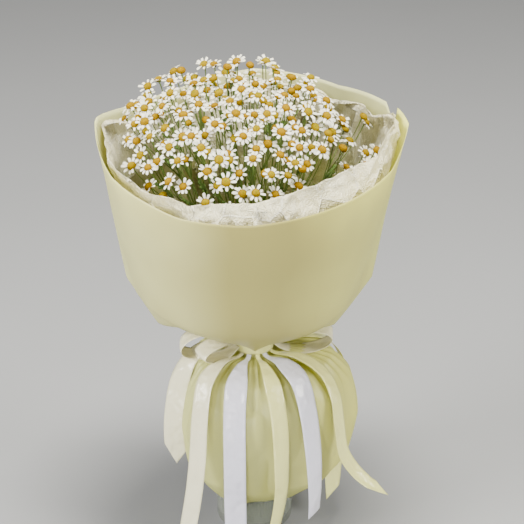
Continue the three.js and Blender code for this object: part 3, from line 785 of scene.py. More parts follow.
def cross_axes(axis, first):
    e1 = unit(add(first, axis, -dot(first, axis)))
    (x, y, z), (p, q, r) = axis, e1
    return e1, (y * r - z * q, z * p - x * r, x * q - y * p)


def through(a, b, c, t):
    """A point on the curve that bends from a through b to c."""
    k = tuple(2 * q - 0.5 * (p + r) for p, q, r in zip(a, b, c))
    return lerp(lerp(a, k, t), lerp(k, c, t), t)


def stem_path(site, top_z):
    """Points and radii of a main stem: cut end, tie and top, with the bend at the tie eased."""
    tie = on_stem(site, TIE_Z)
    turn = Matrix.Rotation(STEM_TWIST, 3, "Z")
    foot = turn @ Vector((tie[0] * STEM_SPREAD, tie[1] * STEM_SPREAD, 0))
    foot = (foot.x, foot.y, VASE_FLOOR + GAP)
    path = []
    for i in range(STEM_POINTS):
        t = i / (STEM_POINTS - 1)
        z = foot[2] + (top_z - foot[2]) * t
        low = lerp(foot, tie, (z - foot[2]) / (TIE_Z - foot[2]))
        ease = smooth(clamp((z - TIE_Z + TIE_BEND / 2) / TIE_BEND))
        radius = 1.02 - 0.36 * max(0.0, (z - 330) / (top_z - 330))
        path.append((lerp(low, on_stem(site, z), ease), radius))
    return path


def stalk_path(bloom):
    path = []
    for i in range(STALK_POINTS):
        t = i / (STALK_POINTS - 1)
        flare = 0.35 * max(0.0, t - 0.8) / 0.2
        path.append((through(*bloom["stalk"], t), 0.62 - 0.16 * t + flare))
    return path


def curve_mesh(name, paths):
    """Paths as the edges of one mesh, with a radius at each point."""
    points, edges, radii = [], [], []
    for path in paths:
        start = len(points)
        points += [p for p, _ in path]
        radii += [r * MM for _, r in path]
        edges += [(start + i, start + i + 1) for i in range(len(path) - 1)]
    return mesh_object(name, in_metres(points), [], {"radius": radii}, edges)


# %% Points that carry the heads
def head_points(name, blooms):
    """A point for each head, with its turn, its size and which head it is."""
    turns, kinds = [], []
    for b in blooms:
        first = (1.0, 0.0, 0.0) if abs(b["normal"][0]) < 0.9 else (0.0, 1.0, 0.0)
        e1, e2 = cross_axes(b["normal"], first)
        basis = Matrix((e1, e2, b["normal"])).transposed() @ Matrix.Rotation(b["spin"], 3, "Z")
        turns += list(basis.to_euler("XYZ"))
        row = min(range(len(DROOPS)), key=lambda k: abs(DROOPS[k] - b["droop"]))
        column = int(b["spin"] * 10) % len(PETAL_COUNTS)
        kinds.append(len(HEADS) - 1 if b["bald"] else row * len(PETAL_COUNTS) + column)
    sizes = [b["r"] * MM / HEAD_R for b in blooms]
    tones = [(0.5 + 0.5 * math.sin(37 * b["spin"])) ** 2 for b in blooms]
    made = mesh_object(name, in_metres(b["centre"] for b in blooms), [], {"size": sizes, "tone": tones})
    store(made.data, "turn", turns, "FLOAT_VECTOR")
    store(made.data, "kind", kinds, "INT")
    return made


# %% A leaf with cut edges
LEAF_ROWS = 33
LEAF_LOBES = 4
LEAF_HALF = 5.4
LEAF_THICK = 0.5


def leaf_blade(length):
    """A leaf from its root at the origin along +Y, arched and creased at its rib."""
    points = []
    for j in range(LEAF_ROWS):
        s = j / (LEAF_ROWS - 1)
        envelope = math.sin(math.pi * min(1.0, 0.06 + 0.94 * s)) ** 0.7 * (1.12 - 0.35 * s)
        cut = abs(math.sin(math.pi * LEAF_LOBES * s**1.1))
        width = LEAF_HALF * max(0.10, envelope * (0.22 + 0.78 * cut**0.7))
        for t in (-1.0, -0.5, 0.0, 0.5, 1.0):
            sweep = 0.05 * length * cut * abs(t)
            z = 0.16 * width * abs(t) - 0.10 * length * s * s
            points.append((width * t, s * length * 0.96 + sweep, z + 0.2))
    return blade("leaf", points, 5, LEAF_THICK, units=in_metres)


def placed(across, along, face, at):
    """The place of a shape whose X, Y and Z point in three directions. at is in millimetres."""
    place = Matrix((across, along, face)).transposed().to_4x4()
    place.translation = Vector(at) * MM
    return place


def leaf_frame(site, index):
    """Where a spray's leaf stands and its length: the same place and turn as in the solids."""
    outer = index >= SPRAYS / 2
    z = site["z"] - (OUTER_LEAF_DROP if outer else INNER_LEAF_DROP)
    bearing = math.atan2(site["v"], site["u"]) + (0.5 if outer else -0.5) * math.sin(index * 2.4)
    lean = 0.6 if outer else 0.3
    axis = unit((site["u"], site["v"], 1.0))
    e1, _ = cross_axes(axis, (math.cos(bearing), math.sin(bearing), 0.0))
    along = Vector(add(tuple(c * math.cos(lean) for c in axis), e1, math.sin(lean)))
    across = Vector(axis).cross(Vector(e1)).normalized()
    return placed(across, along, across.cross(along), on_stem(site, z)), 27 + 3 * math.cos(index * 1.7)


# %% Bracts: the small narrow leaves where a stalk leaves its stem
BRACT_ROWS = 5
BRACT_LENGTH = 9.0


def bract_blade():
    points = []
    for j in range(BRACT_ROWS):
        s = j / (BRACT_ROWS - 1)
        width = 0.9 * math.sin(math.pi * (0.12 + 0.86 * s)) ** 0.8
        points += [(width * t, BRACT_LENGTH * s, 1.6 * s * s + 0.2 * abs(t)) for t in (-1.0, 0.0, 1.0)]
    return blade("bract", points, 3, 0.3, units=in_metres)


def bract_frame(bloom):
    root, middle, _ = bloom["stalk"]
    along = Vector(unit(add(middle, root, -1)))
    across = along.cross(Vector((math.cos(bloom["spin"]), math.sin(bloom["spin"]), 0.3))).normalized()
    return placed(across, along, across.cross(along), lerp(root, middle, 0.05))


# %% The tree of a spray
TUBE_SIDES = 7


def spray_tree(heads):
    group, tree, given = geometry_tree(
        "spray", {"Stems": ("Object", None), "Leaves": ("Object", None), "Sides": ("Int", TUBE_SIDES)}
    )
    stored = {"turn": "FLOAT_VECTOR", "kind": "INT", "size": "FLOAT", "radius": "FLOAT"}
    turn, kind, size, radius = (
        tree.add("GeometryNodeInputNamedAttribute", {"data_type": data_type}, Name=label)
        for label, data_type in stored.items()
    )
    each_head = dict(Separate_Children=True, Reset_Children=True)
    bunch = tree.add("GeometryNodeCollectionInfo", Collection=heads, **each_head)
    which = dict(Pick_Instance=True, Instance_Index=kind)
    flowers = copies(tree, given["Geometry"], bunch, rotation(tree, turn), size, **which)
    lines = tree.add("GeometryNodeMeshToCurve", Mesh=of_object(tree, given["Stems"]))
    ring = tree.add("GeometryNodeCurvePrimitiveCircle", Resolution=given["Sides"], Radius=1.0)
    tubes = tree.add("GeometryNodeCurveToMesh", Curve=lines, Profile_Curve=ring, Scale=radius, Fill_Caps=True)
    leaves = with_material(tree, of_object(tree, given["Leaves"]), LEAF)
    finish_tree(tree, flowers, with_material(tree, tubes, STEM), leaves)
    return group


def joined_copies(name, parts):
    """One object from (object, place) pairs, as a plain mesh."""
    points, faces = [], []
    for source, place in parts:
        start = len(points)
        points += [place @ v.co for v in source.data.vertices]
        faces += [tuple(start + i for i in f.vertices) for f in source.data.polygons]
    return shade_smooth(mesh_object(name, points, faces))


# %% All the sprays
def stands_for(piece, node, material=None):
    """The piece takes a solid's place: it hides that node, and rides on the one body."""
    if material:
        piece.data.materials.append(material)
    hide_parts(node)
    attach(piece, "root")
    return piece


def make_spray(index, site, group, bract):
    name = f"spray_{index + 1:02d}"
    own = [b for b in BLOOMS if b["spray"] == index]
    top_z = max(b["stalk"][0][2] for b in own) + 1
    stems = curve_mesh("stems", [stem_path(site, top_z)] + [stalk_path(b) for b in own])
    place, length = leaf_frame(site, index)
    leaf = leaf_blade(length)
    leaves = joined_copies("leaves", [(leaf, place)] + [(bract, bract_frame(b)) for b in own])
    points = head_points("points", own)
    values = {"Stems": stems, "Leaves": leaves, "Sides": TUBE_SIDES}
    spray = run_tree(points, group, values, f"{name}_flowers")
    for spare in (stems, leaf, leaves, points):
        bpy.data.objects.remove(spare)
    return stands_for(spray, name)


def make_sprays():
    pool = bpy.data.collections.new("heads")
    bpy.context.scene.collection.children.link(pool)
    for head in HEADS:
        bpy.context.scene.collection.objects.unlink(head)
        pool.objects.link(head)
    group = spray_tree(pool)
    bract = bract_blade()
    made = [make_spray(index, site, group, bract) for index, site in enumerate(SITES)]
    for spare in [bract, *HEADS]:
        bpy.data.objects.remove(spare)
    bpy.data.collections.remove(pool)
    return made


SPRAY_PIECES = make_sprays()
print("faces of the sprays", sum(len(s.data.polygons) for s in SPRAY_PIECES))

# %% [markdown]
# ## Sheets round the flowers
#
# The tissue and the film are sheets that follow a profile round the bunch. The profile is a few
# (radius, height) stations at each bearing, eased from one to the next, and each sheet adds its
# own wear: crisp facets in the tissue, long soft dents in the film, gathers in the skirt.

# %% Profiles round the bunch
def bend(a, b, c, d, t):
    """From b to c, smoothly, on the way from a to d."""
    return 0.5 * (b * 2 + (c - a) * t + (a * 2 - b * 5 + c * 4 - d) * t * t + (b * 3 - a - c * 3 + d) * t**3)


def on_profile(stations, v, ease):
    """A place on evenly numbered stations, whose corners are rounded by the share ease."""
    n = len(stations) - 1
    at = min(n - 1e-6, max(0.0, v * n))
    i = int(at)
    t = at - i
    spot = []
    for a, b, c, d in zip(*(stations[max(0, min(n, i + step))] for step in (-1, 0, 1, 2))):
        sharp = b + (c - b) * t
        spot.append(sharp + (bend(a, b, c, d, t) - sharp) * ease)
    return spot


def noise_round(angle, reach, height):
    """Noise that closes round the bunch. reach is how quickly it changes on the way."""
    return noise.noise(Vector((math.cos(angle) * reach, math.sin(angle) * reach, height)))


# %% The bowl that the film makes
SHEET = 0.8
RIBBON = 0.6
TWINE_OUT = 15.6
TISSUE_NECK = TWINE_OUT + GAP + SHEET
FRONT_NECK = TISSUE_NECK + 2 * (GAP + SHEET)
SKIRT_NECK = FRONT_NECK + GAP + SHEET
TAIL_NECK = SKIRT_NECK + GAP + RIBBON / 2 + 0.1
BAND_IN = TAIL_NECK + RIBBON / 2 + 0.6
BAND_OUT = BAND_IN + 1
NECK_LOW, NECK_HIGH = TIE_Z - 9, TIE_Z + 9
KNEE_Z = 326.0
RIM_R = [
    (0, 158), (23, 152), (56, 145), (90, 136), (126, 140), (151, 146), (180, 166),
    (208, 161), (230, 156), (270, 155), (307, 157), (332, 160), (352, 163),
]
RIM_Z = [
    (0, 521), (23, 512), (50, 506), (90, 516), (125, 503), (150, 500), (178, 516), (190, 502),
    (207, 486), (230, 477), (242, 473), (270, 474), (307, 486), (332, 495), (350, 521),
]
KNEE_R = [
    (0, 131), (45, 124), (90, 116), (140, 126), (180, 141), (190, 133), (202, 130), (225, 130), (270, 128),
    (300, 126), (315, 122), (330, 117), (342, 117), (351, 122),
]
FOLD_R = [(0, 95), (22, 86), (90, 80), (158, 88), (180, 108), (203, 88), (270, 78), (338, 85)]
FOLD_Z = [
    (0, 270), (90, 275), (178, 264), (190, 272), (215, 290), (240, 292), (262, 287), (271, 278),
    (280, 287), (300, 291), (325, 288), (350, 273),
]


def polar(r, degrees, z):
    a = math.radians(degrees)
    return Vector((r * math.cos(a), r * math.sin(a), z))


def bowl_stations(degrees):
    """The film's profile. Its rim and its lower fold run straight from corner to corner."""
    tables = (RIM_R, RIM_Z, KNEE_R, FOLD_R, FOLD_Z)
    rim_r, rim_z, knee_r, fold_r, fold_z = (around(table, degrees, straight) for table in tables)
    middle = (0.52 * knee_r + 0.48 * rim_r + 2, 0.5 * (KNEE_Z + rim_z))
    neck = [(FRONT_NECK, TIE_Z - 1), (FRONT_NECK, NECK_HIGH)]
    return neck + [(fold_r, fold_z), (knee_r, KNEE_Z), middle, (rim_r, rim_z)]


# %% A sheet as a mesh with a wall
SHEET_WALL = 0.3


def walled_grid(name, points, uvs, columns, closed, thickness, offset):
    """A grid of points as a surface with UVs, given a wall by Solidify and made a plain mesh."""
    made = mesh_object(name, points, grid_faces(len(points) // columns, columns, closed))
    spots = []
    for face in made.data.polygons:
        own = [uvs[i] for i in face.vertices]
        # Where a sheet closes on itself, its last faces end at u = 1, not at 0.
        wraps = closed and min(u for u, _ in own) == 0.0 and max(u for u, _ in own) > 0.5
        for u, v in own:
            spots += [1.0 if wraps and u == 0.0 else u, v]
    made.data.uv_layers.new(name="cut").data.foreach_set("uv", spots)
    shade_smooth(made)
    wall = made.modifiers.new("wall", "SOLIDIFY")
    wall.thickness = thickness * MM
    wall.offset = offset
    mesh = plain_result(made)
    made.modifiers.clear()
    made.data = mesh
    return made


def sheet_piece(name, place, rows, columns, closed):
    """place(u, v) in millimetres over a grid. A closed sheet runs all round the bunch."""
    last = columns if closed else columns - 1
    uvs = [(i / last, j / (rows - 1)) for j in range(rows) for i in range(columns)]
    points = [place(u, v) * MM for u, v in uvs]
    return walled_grid(name, points, uvs, columns, closed, SHEET_WALL, -1.0)


def area_of(piece):
    """Area of one side of a thin closed sheet, in square metres."""
    return sum(f.area for f in piece.data.polygons) / 2

# %% [markdown]
# ## Tissue
#
# Fibre tissue creases into flat facets with sharp folds between them, not into waves. Heights on
# a lattice of triangles give such facets, and a slow noise bends the lattice, so that no row shows.
# Two sizes of facets go over each other. The rim is torn a little uneven.

# %% Facets of crumpled paper
def facet_field(columns, rows, seed):
    """Heights over u, v from 0 to 1 that are flat within triangles. u runs round and closes."""
    random = seeded(seed)
    heights = [[random() - 0.5 for _ in range(columns)] for _ in range(rows + 2)]

    def height(u, v):
        wu = u * columns + 0.9 * noise_round(u * 6.283, 2, v * 3 + seed)
        wv = v * rows + 0.5 + 0.5 * noise_round(u * 6.283, 3, v * 4 - seed)
        wv = min(rows + 0.999, max(0.0, wv))
        i, j = math.floor(wu), int(wv)
        a, b = wu - i, wv - j
        left, right = i % columns, (i + 1) % columns
        low, high = heights[j], heights[min(rows + 1, j + 1)]
        c00, c10, c01, c11 = low[left], low[right], high[left], high[right]
        if (i + j) % 2:
            if a + b < 1:
                return c00 + (c10 - c00) * a + (c01 - c00) * b
            return c11 + (c01 - c11) * (1 - a) + (c10 - c11) * (1 - b)
        if a > b:
            return c00 + (c10 - c00) * a + (c11 - c10) * b
        return c00 + (c11 - c01) * a + (c01 - c00) * b

    return height


# %% The tissue's shape
TISSUE_ROWS, TISSUE_COLUMNS = 90, 420
TISSUE_RISE = [
    (0, -6), (30, -14), (90, -8), (150, -12), (176, -12), (190, -2), (205, 6), (220, 3), (240, 9),
    (262, 13), (282, 18), (310, 17), (340, 10),
]
TISSUE_LEAN = [
    (0, 10), (60, 9), (120, 9), (165, 7), (180, 6), (200, 6), (220, 8), (240, 13), (270, 19),
    (310, 22), (340, 18),
]
LARGE_FACETS = facet_field(46, 12, 11)
SMALL_FACETS = facet_field(120, 30, 23)
LARGE_DEPTH, SMALL_DEPTH = 10.0, 3.4
TORN_DEPTH = 1.6


def tissue_place(u, v):
    degrees = 360 * u
    angle = math.radians(degrees)
    rim_r, rim_z, knee_r = (around(table, degrees) for table in (RIM_R, RIM_Z, KNEE_R))
    crease = 1.6 * math.sin(angle * 13) + 1.2 * math.sin(angle * 7 + 1)
    r = rim_r - around(TISSUE_LEAN, degrees)
    z = rim_z + around(TISSUE_RISE, degrees)
    stations = [
        (TISSUE_NECK, NECK_LOW), (TISSUE_NECK, NECK_HIGH + 1), (0.66 * knee_r, KNEE_Z + 6),
        (0.5 * (knee_r + rim_r) - 9 + 0.6 * crease, 0.5 * (KNEE_Z + rim_z)),
        (rim_r - 9 + crease, rim_z - 16), (r + crease, z + crease),
    ]
    pr, pz = on_profile(stations, v, 0.35)
    open_share = clamp((v - 0.3) / 0.3)
    rough = LARGE_DEPTH * LARGE_FACETS(u, v) + SMALL_DEPTH * SMALL_FACETS(u, v)
    torn = TORN_DEPTH * max(0.0, (v - 0.9) / 0.1) * noise.noise(Vector((u * 90, 0, 5)))
    z = pz + torn + 0.25 * rough * open_share
    return polar(pr - 1.2 * open_share + rough * open_share * 0.8, degrees, z)


# %% Tissue paper as a material
LIT_Z, DIM_Z = 0.478, 0.418  # the tissue takes the flowers' green shade between these heights


def leaning(tree, where, scale, strength):
    """A random direction for each cell: paper that was crushed keeps flat facets with sharp edges."""
    cells = tree.add("ShaderNodeTexVoronoi", out="Color", Vector=where, Scale=scale)
    return tree.vector("MULTIPLY", tree.vector("SUBTRACT", cells, (0.5, 0.5, 0.5)), (strength,) * 3)


def tissue_material():
    material, tree = new_material("fibre_tissue")
    where = object_position(tree)
    fibres = noise_on(tree, stretched(tree, where, (1.0, 1.0, 0.25)), 260.0, 6.0, 0.7)
    strands = bands_on(tree, where, "X", Scale=55.0, Distortion=26.0, Detail=3.0, Detail_Scale=1.6)
    fine = fibres * 0.55 + strands * 0.3 + noise_on(tree, where, 22.0, 4.0) * 0.25
    flat = stretched(tree, where, (1.0, 1.0, 0.7))
    large = leaning(tree, flat, 34.0, 1.1)
    small = leaning(tree, stretched(tree, where, (1.0, 1.0, 0.5)), 95.0, 0.6)
    edge = tree.add("ShaderNodeTexVoronoi", {"feature": "DISTANCE_TO_EDGE"}, Vector=flat, Scale=34.0)
    crease = tree.math("MAXIMUM", 1.0 - edge * 22.0, 0.0)
    facing = tree.add("ShaderNodeNewGeometry", out="Normal")
    facets = tree.vector("NORMALIZE", tree.vector("ADD", facing, tree.vector("ADD", large, small)))
    colour = tree.mix(fine, (0.80, 0.74, 0.47), (0.98, 0.95, 0.78))
    # Painted highlight: the tissue is whitened along its crease lines, where the ridges catch the light.
    colour = tree.mix(crease * 0.7, colour, (1.0, 0.98, 0.90))
    span = dict(From_Min=LIT_Z, From_Max=DIM_Z, To_Min=0.0, To_Max=1.0)
    low = tree.add("ShaderNodeMapRange", Value=tree.axes(where)[2], **span)
    colour = tree.mix(low, colour, (0.17, 0.17, 0.05))
    normal = bump(tree, fibres + strands * 0.5 + crease * 0.6, 0.9, 0.0015, Normal=facets)
    rough = 0.18 + fibres * 0.2
    body = principled(tree, Base_Color=colour, Roughness=rough, Normal=normal, Specular_IOR_Level=0.9)
    surface(tree, thin(tree, body, (1.0, 0.95, 0.72), 0.34))
    return material


TISSUE_PIECE = sheet_piece("tissue_paper", tissue_place, TISSUE_ROWS, TISSUE_COLUMNS, closed=True)
stands_for(TISSUE_PIECE, "tissue", tissue_material())
print("tissue area", round(area_of(TISSUE_PIECE), 3), "faces", len(TISSUE_PIECE.data.polygons))

# %% [markdown]
# ## Film
#
# Matte gift film is smooth and springy: it bends in one direction at a time and keeps only a few
# long soft dents. Light comes through it, so its shaded side glows a warm cream.

# %% Film material
def film_material(name, left, middle, right, share):
    """Painted shade deepens the film's tone in the middle, where the stems are close behind it, and painted
    light makes it paler at its sides.
    """
    material, tree = new_material(name)
    where = object_position(tree)
    clouds = noise_on(tree, where, 9.0, 2.0)
    grain = noise_on(tree, where, 900.0, 2.0)
    # Painted light and shade: the colour runs from painted light at the left, through painted shade in the
    # middle, to painted light at the right.
    place = tree.axes(where)[0] * 3.1 + 0.5 + (clouds - 0.5) * 0.35
    colour = tree.ramp(place, [(0.0, left), (0.45, middle), (0.62, middle), (1.0, right)])
    normal = bump(tree, grain, 0.12, 0.0003)
    rough = 0.32 + grain * 0.12
    body = principled(tree, Base_Color=colour, Roughness=rough, Normal=normal, Specular_IOR_Level=0.45)
    surface(tree, thin(tree, body, colour, share))
    return material


FILM_LIGHT_AND_SHADE = {  # the colours at the left, the middle and the right, with painted light at the sides and painted shade in the middle, and how much light comes through
    "cream_film": ((0.93, 0.93, 0.50), (0.56, 0.515, 0.175), (0.90, 0.90, 0.31), 0.42),
    "cream_film_back": ((0.84, 0.84, 0.52), (0.82, 0.82, 0.48), (0.84, 0.84, 0.50), 0.45),
    "cream_film_skirt": ((0.90, 0.93, 0.50), (0.78, 0.78, 0.34), (0.95, 0.93, 0.28), 0.5),
}
FILM, BACK_FILM, SKIRT_FILM = (film_material(name, *tones) for name, tones in FILM_LIGHT_AND_SHADE.items())


# %% The two sheets of the bowl
FILM_ROWS, FILM_COLUMNS = 71, 220
NOTCH = 0.05  # how far the back sheet's right end dips, as a share of its height
NOTCH_WIDTH = 10
DENT_DEPTH = 1.5


def make_film(node, start, end, depth, notch, material):
    """A sheet from one bearing to another, set in from the front sheet's surface by depth."""

    def place(u, v):
        degrees = start + (end - start) * u
        dip = max(0.0, 5 * v - 4) * max(0.0, 1 - (degrees - start) / NOTCH_WIDTH)
        ease = 0.1 + 0.8 * math.sin(math.radians(degrees)) ** 2
        r, z = on_profile(bowl_stations(degrees), v - notch * dip, ease)
        dent = DENT_DEPTH * noise.noise(Vector((degrees * 0.021, v * 1.3, start * 0.1)))
        return polar(r - depth + dent * clamp((v - 0.25) / 0.3), degrees, z)

    film = sheet_piece(f"{node}_sheet", place, FILM_ROWS, FILM_COLUMNS, closed=False)
    return stands_for(film, node, material)


FILM_FRONT = make_film("film_front", 170, 370, 0.0, 0.0, FILM)
FILM_BACK = make_film("film_back", 10, 190, SHEET + 1.25 * GAP, NOTCH, BACK_FILM)
print("film areas", round(area_of(FILM_FRONT), 3), round(area_of(FILM_BACK), 3))

# %% [markdown]
# ## Skirt
#
# The skirt is a sheet of the same film gathered under the bow. Just below the tie it lies in many
# narrow gathers, and they merge into a few broad folds that hang to the hem.

# %% Skirt shape
SKIRT_ROWS, SKIRT_COLUMNS = 118, 416
SKIRT_PLEATS = 8
# Radius, height, and how much of the plan and of the pleats a station has.
SKIRT_PROFILE = [
    (SKIRT_NECK, 252, 0, 0), (SKIRT_NECK, 232, 0, 0), (47, 235.5, 0.7, 1), (78, 226.5, 0.95, 1.5),
    (95, 200, 1, 2), (103, 148, 1, 2.5), (95, 95, 1, 3), (60, 56, 0.25, 2),
]
SKIRT_PLAN = [
    (0, 1.14), (40, 1.02), (90, 0.92), (140, 0.84), (180, 0.82), (215, 0.87), (245, 0.955),
    (280, 0.97), (320, 1.04),
]


def skirt_place(u, v):
    angle = -2 * math.pi * u
    r, z, share, depth = on_profile(SKIRT_PROFILE, v, 0.55)
    plan = 1 + share * (around(SKIRT_PLAN, math.degrees(angle) % 360) - 1)
    swing = SKIRT_PLEATS * angle + 0.8 * math.sin(angle * 2)
    broad = 0.6 * depth * math.cos(swing)
    wander = 1.6 * noise_round(angle, 2, v * 2)
    narrow = abs(math.sin(0.5 * (46 * angle + 2.6 * math.sin(angle * 3 + 1) + 2 * wander)))
    gathers = clamp((v - 0.15) / 0.08) * max(0.0, 1 - max(0.0, v - 0.34) / 0.4)
    long_folds = abs(math.sin(0.5 * (11 * angle + 1.7 * math.sin(angle * 2 + 4) + wander)))
    fall = clamp((v - 0.35) / 0.2)
    dents = abs(noise_round(angle, 3.4, v * 5 + 3)) - 0.2
    crumple = (1.6 * noise_round(angle, 6, v * 6 + 7) + 7.0 * dents) * fall * min(1.0, 6 - 6 * v)
    radius = r * plan + broad - 2.2 * gathers * narrow + 1.8 * fall * (0.5 - long_folds) + crumple
    hem = 3.0 * max(0.0, (v - 0.85) / 0.15) * math.cos(5 * angle + 1)
    return Vector((radius * math.cos(angle), radius * math.sin(angle), z + hem - 1.2 * gathers * narrow))


SKIRT_PIECE = sheet_piece("film_skirt_sheet", skirt_place, SKIRT_ROWS, SKIRT_COLUMNS, closed=True)
stands_for(SKIRT_PIECE, "film_skirt", SKIRT_FILM)
print("skirt area", round(area_of(SKIRT_PIECE), 3))

# %% [markdown]
# ## Satin ribbons
#
# Satin's sheen runs across its weave: long floats of thread on one face give broad soft lights.
# The ribbon's own UV map carries the fine weave along it, and its edges are woven a little denser.

# %% Satin material
def satin_material(name, base, edge):
    material, tree = new_material(name)
    uv = tree.add("ShaderNodeUVMap", {"uv_map": "cut"})
    across, along, _ = tree.axes(uv)
    threads = tree.math("SINE", along * 2400.0) * 0.5 + 0.5
    selvedge = tree.math("GREATER_THAN", tree.math("ABSOLUTE", across - 0.5), 0.455)
    slub = noise_on(tree, stretched(tree, uv, (40.0, 3.0, 1.0)), 6.0)
    colour = tree.mix(selvedge * 0.6 + slub * 0.25, base, edge)
    weave = bump(tree, threads * 0.4 + slub * 0.6 + selvedge * 0.8, 0.25, 0.0002)
    waves = noise_on(tree, stretched(tree, object_position(tree), (1.0, 1.0, 0.7)), 42.0, 2.0)
    normal = bump(tree, waves, 0.8, 0.008, Normal=weave)
    sheen = dict(Specular_IOR_Level=0.9, Sheen_Weight=0.25, Sheen_Roughness=0.4, Anisotropic=0.6)
    body = principled(tree, Base_Color=colour, Roughness=0.22 + slub * 0.12, Normal=normal, **sheen)
    surface(tree, thin(tree, body, base, 0.2))
    return material


CREAM_SATIN = satin_material("satin_cream", (0.88, 0.87, 0.35), (0.78, 0.76, 0.27))
PALE_SATIN = satin_material("satin_pale_cream", (0.96, 0.92, 0.68), (0.87, 0.83, 0.56))
WHITE_SATIN = satin_material("satin_white", (0.83, 0.82, 0.94), (0.75, 0.74, 0.87))


# %% Ribbon strips
RIBBON_ACROSS = 9
RIBBON_WALL = 0.35
CUT_STATIONS = 9  # the slant or the tip of an end starts this many stations before it


def ribbon_piece(name, stations, material, slant=0.0, tip=0.0):
    """A strip along stations of (middle, side, width, curl). Its end is cut slanting or to a tip."""
    points, uvs = [], []
    last = len(stations) - 1
    run = 0.0
    for i, (p, side, width, curl) in enumerate(stations):
        along = (stations[min(last, i + 1)][0] - stations[max(0, i - 1)][0]).normalized()
        across = (side - along * side.dot(along)).normalized()
        face = along.cross(across).normalized()
        run += (p - stations[max(0, i - 1)][0]).length
        for k in range(RIBBON_ACROSS):
            t = 2 * k / (RIBBON_ACROSS - 1) - 1
            cut = (slant * t + tip * (0.5 - abs(t))) * max(0.0, 1 - (last - i) / CUT_STATIONS)
            points.append((p + across * (t * width / 2) + face * (curl * (t * t - 0.4)) + along * cut) * MM)
            uvs.append(((t + 1) / 2, run * MM))
    made = walled_grid(name, points, uvs, RIBBON_ACROSS, False, RIBBON_WALL, 0.0)
    made.data.materials.append(material)
    return made


def smooth_route(points, count):
    """Even steps along a curve through the points, and its length."""
    ends = [points[0] * 2 - points[1]] + points + [points[-1] * 2 - points[-2]]
    fine = [bend(*ends[i : i + 4], k / 16) for i in range(len(points) - 1) for k in range(16)]
    fine.append(points[-1])
    lengths = [0.0]
    for p, q in zip(fine, fine[1:]):
        lengths.append(lengths[-1] + (q - p).length)
    route = []
    k = 0
    for i in range(count):
        goal = lengths[-1] * i / (count - 1)
        while k < len(fine) - 2 and lengths[k + 1] < goal:
            k += 1
        t = (goal - lengths[k]) / max(1e-9, lengths[k + 1] - lengths[k])
        route.append(fine[k].lerp(fine[k + 1], min(1.0, t)))
    return route, lengths[-1]


# %% The seven tails
TAILS = {
    "tail_cream_left": dict(
        bearing=178, width=25, slant=4, tip=24, turn=60, by=0.45, satin="pale",
        points=[
            (-40, 0, 238), (-66, -5, 230), (-82, -18, 208),
            (-89, -30, 170), (-91, -35, 140), (-90, -34, 106),
        ],
    ),
    "tail_cream_front_left": dict(
        bearing=232, width=22, slant=7, satin="pale",
        points=[
            (-37, -42, 239), (-53, -65, 229), (-59, -85, 196),
            (-62, -96, 150), (-68, -100, 96), (-82, -103, 14),
        ],
    ),
    "tail_white_left": dict(
        bearing=256, width=25, satin="white",
        points=[
            (-13, -48, 239), (-19, -76, 230), (-21, -96, 198),
            (-21, -105, 150), (-21, -106, 96), (-20, -106, 8),
        ],
    ),
    "tail_cream_middle": dict(
        bearing=281, width=19, slant=6, tip=14, turn=45, satin="cream",
        points=[
            (12, -48, 239), (21, -74, 230), (28, -94, 198),
            (31, -104, 150), (30, -106, 96), (16, -106, 16),
        ],
    ),
    "tail_white_right": dict(
        bearing=303, width=25, turn=25, satin="white",
        points=[
            (33, -42, 239), (51, -65, 230), (61, -84, 198),
            (67, -96, 150), (69, -98, 105), (68, -98, 72),
        ],
    ),
    "tail_cream_right": dict(
        bearing=330, width=18, slant=4, tip=24, satin="cream",
        points=[
            (52, -28, 239), (78, -44, 228), (91, -60, 205), (95, -71, 178),
            (100, -76, 143), (113, -78, 119), (129, -79, 102), (143, -80, 92),
        ],
    ),
    "tail_cream_back": dict(
        bearing=20, width=25, slant=4, tip=24, turn=-50, satin="cream",
        points=[
            (52, 24, 236), (78, 36, 227), (99, 44, 196), (107, 46, 150),
            (107, 37, 100), (99, 14, 66), (89, -8, 36),
        ],
    ),
}
SATINS = {  # the material of a tail, and its slot
    "pale": (PALE_SATIN, "satin_cream"),
    "cream": (CREAM_SATIN, "satin_cream"),
    "white": (WHITE_SATIN, "satin_white"),
}
TAIL_STEPS = 90
TAIL_ROOT = 5  # a tail's width where the bow gathers it
TAIL_START = [(0, 249), (0, 238), (8, 235)]  # how a tail leaves the band: out from it, and height


def make_tail(node, bearing, width, satin, points, slant=0, tip=0, turn=0, by=1):
    """turn is how far the ribbon turns about its length, in degrees, and by is where along it."""
    start = [polar(TAIL_NECK + out, bearing, z) for out, z in TAIL_START]
    route, length = smooth_route(start + [Vector(p) for p in points], TAIL_STEPS)
    tangent = polar(1, bearing + 90, 0)
    stations = []
    for i, p in enumerate(route):
        s = i / (TAIL_STEPS - 1)
        away = Vector((p.x, p.y, 0)).normalized()
        side = tangent.lerp(Vector((-away.y, away.x, 0)), min(1.0, s * 4))
        side = Matrix.Rotation(math.radians(turn) * smooth(clamp((s - 0.2) / by)), 3, "Z") @ side
        twist = 0.14 * math.sin(7 * s + bearing) * min(1.0, 3 * s)
        side = Matrix.Rotation(twist, 3, away) @ side if s > 0.1 else side
        opening = clamp((s - 0.06) / 0.2)
        curl = 1.3 * math.sin(3 * s + bearing * 0.3) * opening
        stations.append((p, side, TAIL_ROOT + (width - TAIL_ROOT) * smooth(opening), curl))
    material, slot = SATINS[satin]
    tail = stands_for(ribbon_piece(f"{node}_ribbon", stations, material, slant, tip), node)
    return tail


TAIL_PIECES = [make_tail(node, **facts) for node, facts in TAILS.items()]
print("tails", len(TAIL_PIECES))

# %% [markdown]
# ## Bow
#
# A satin band goes round the waist, and three loops stand out from it under the bowl. The band
# and the loops are strips of the same ribbon.

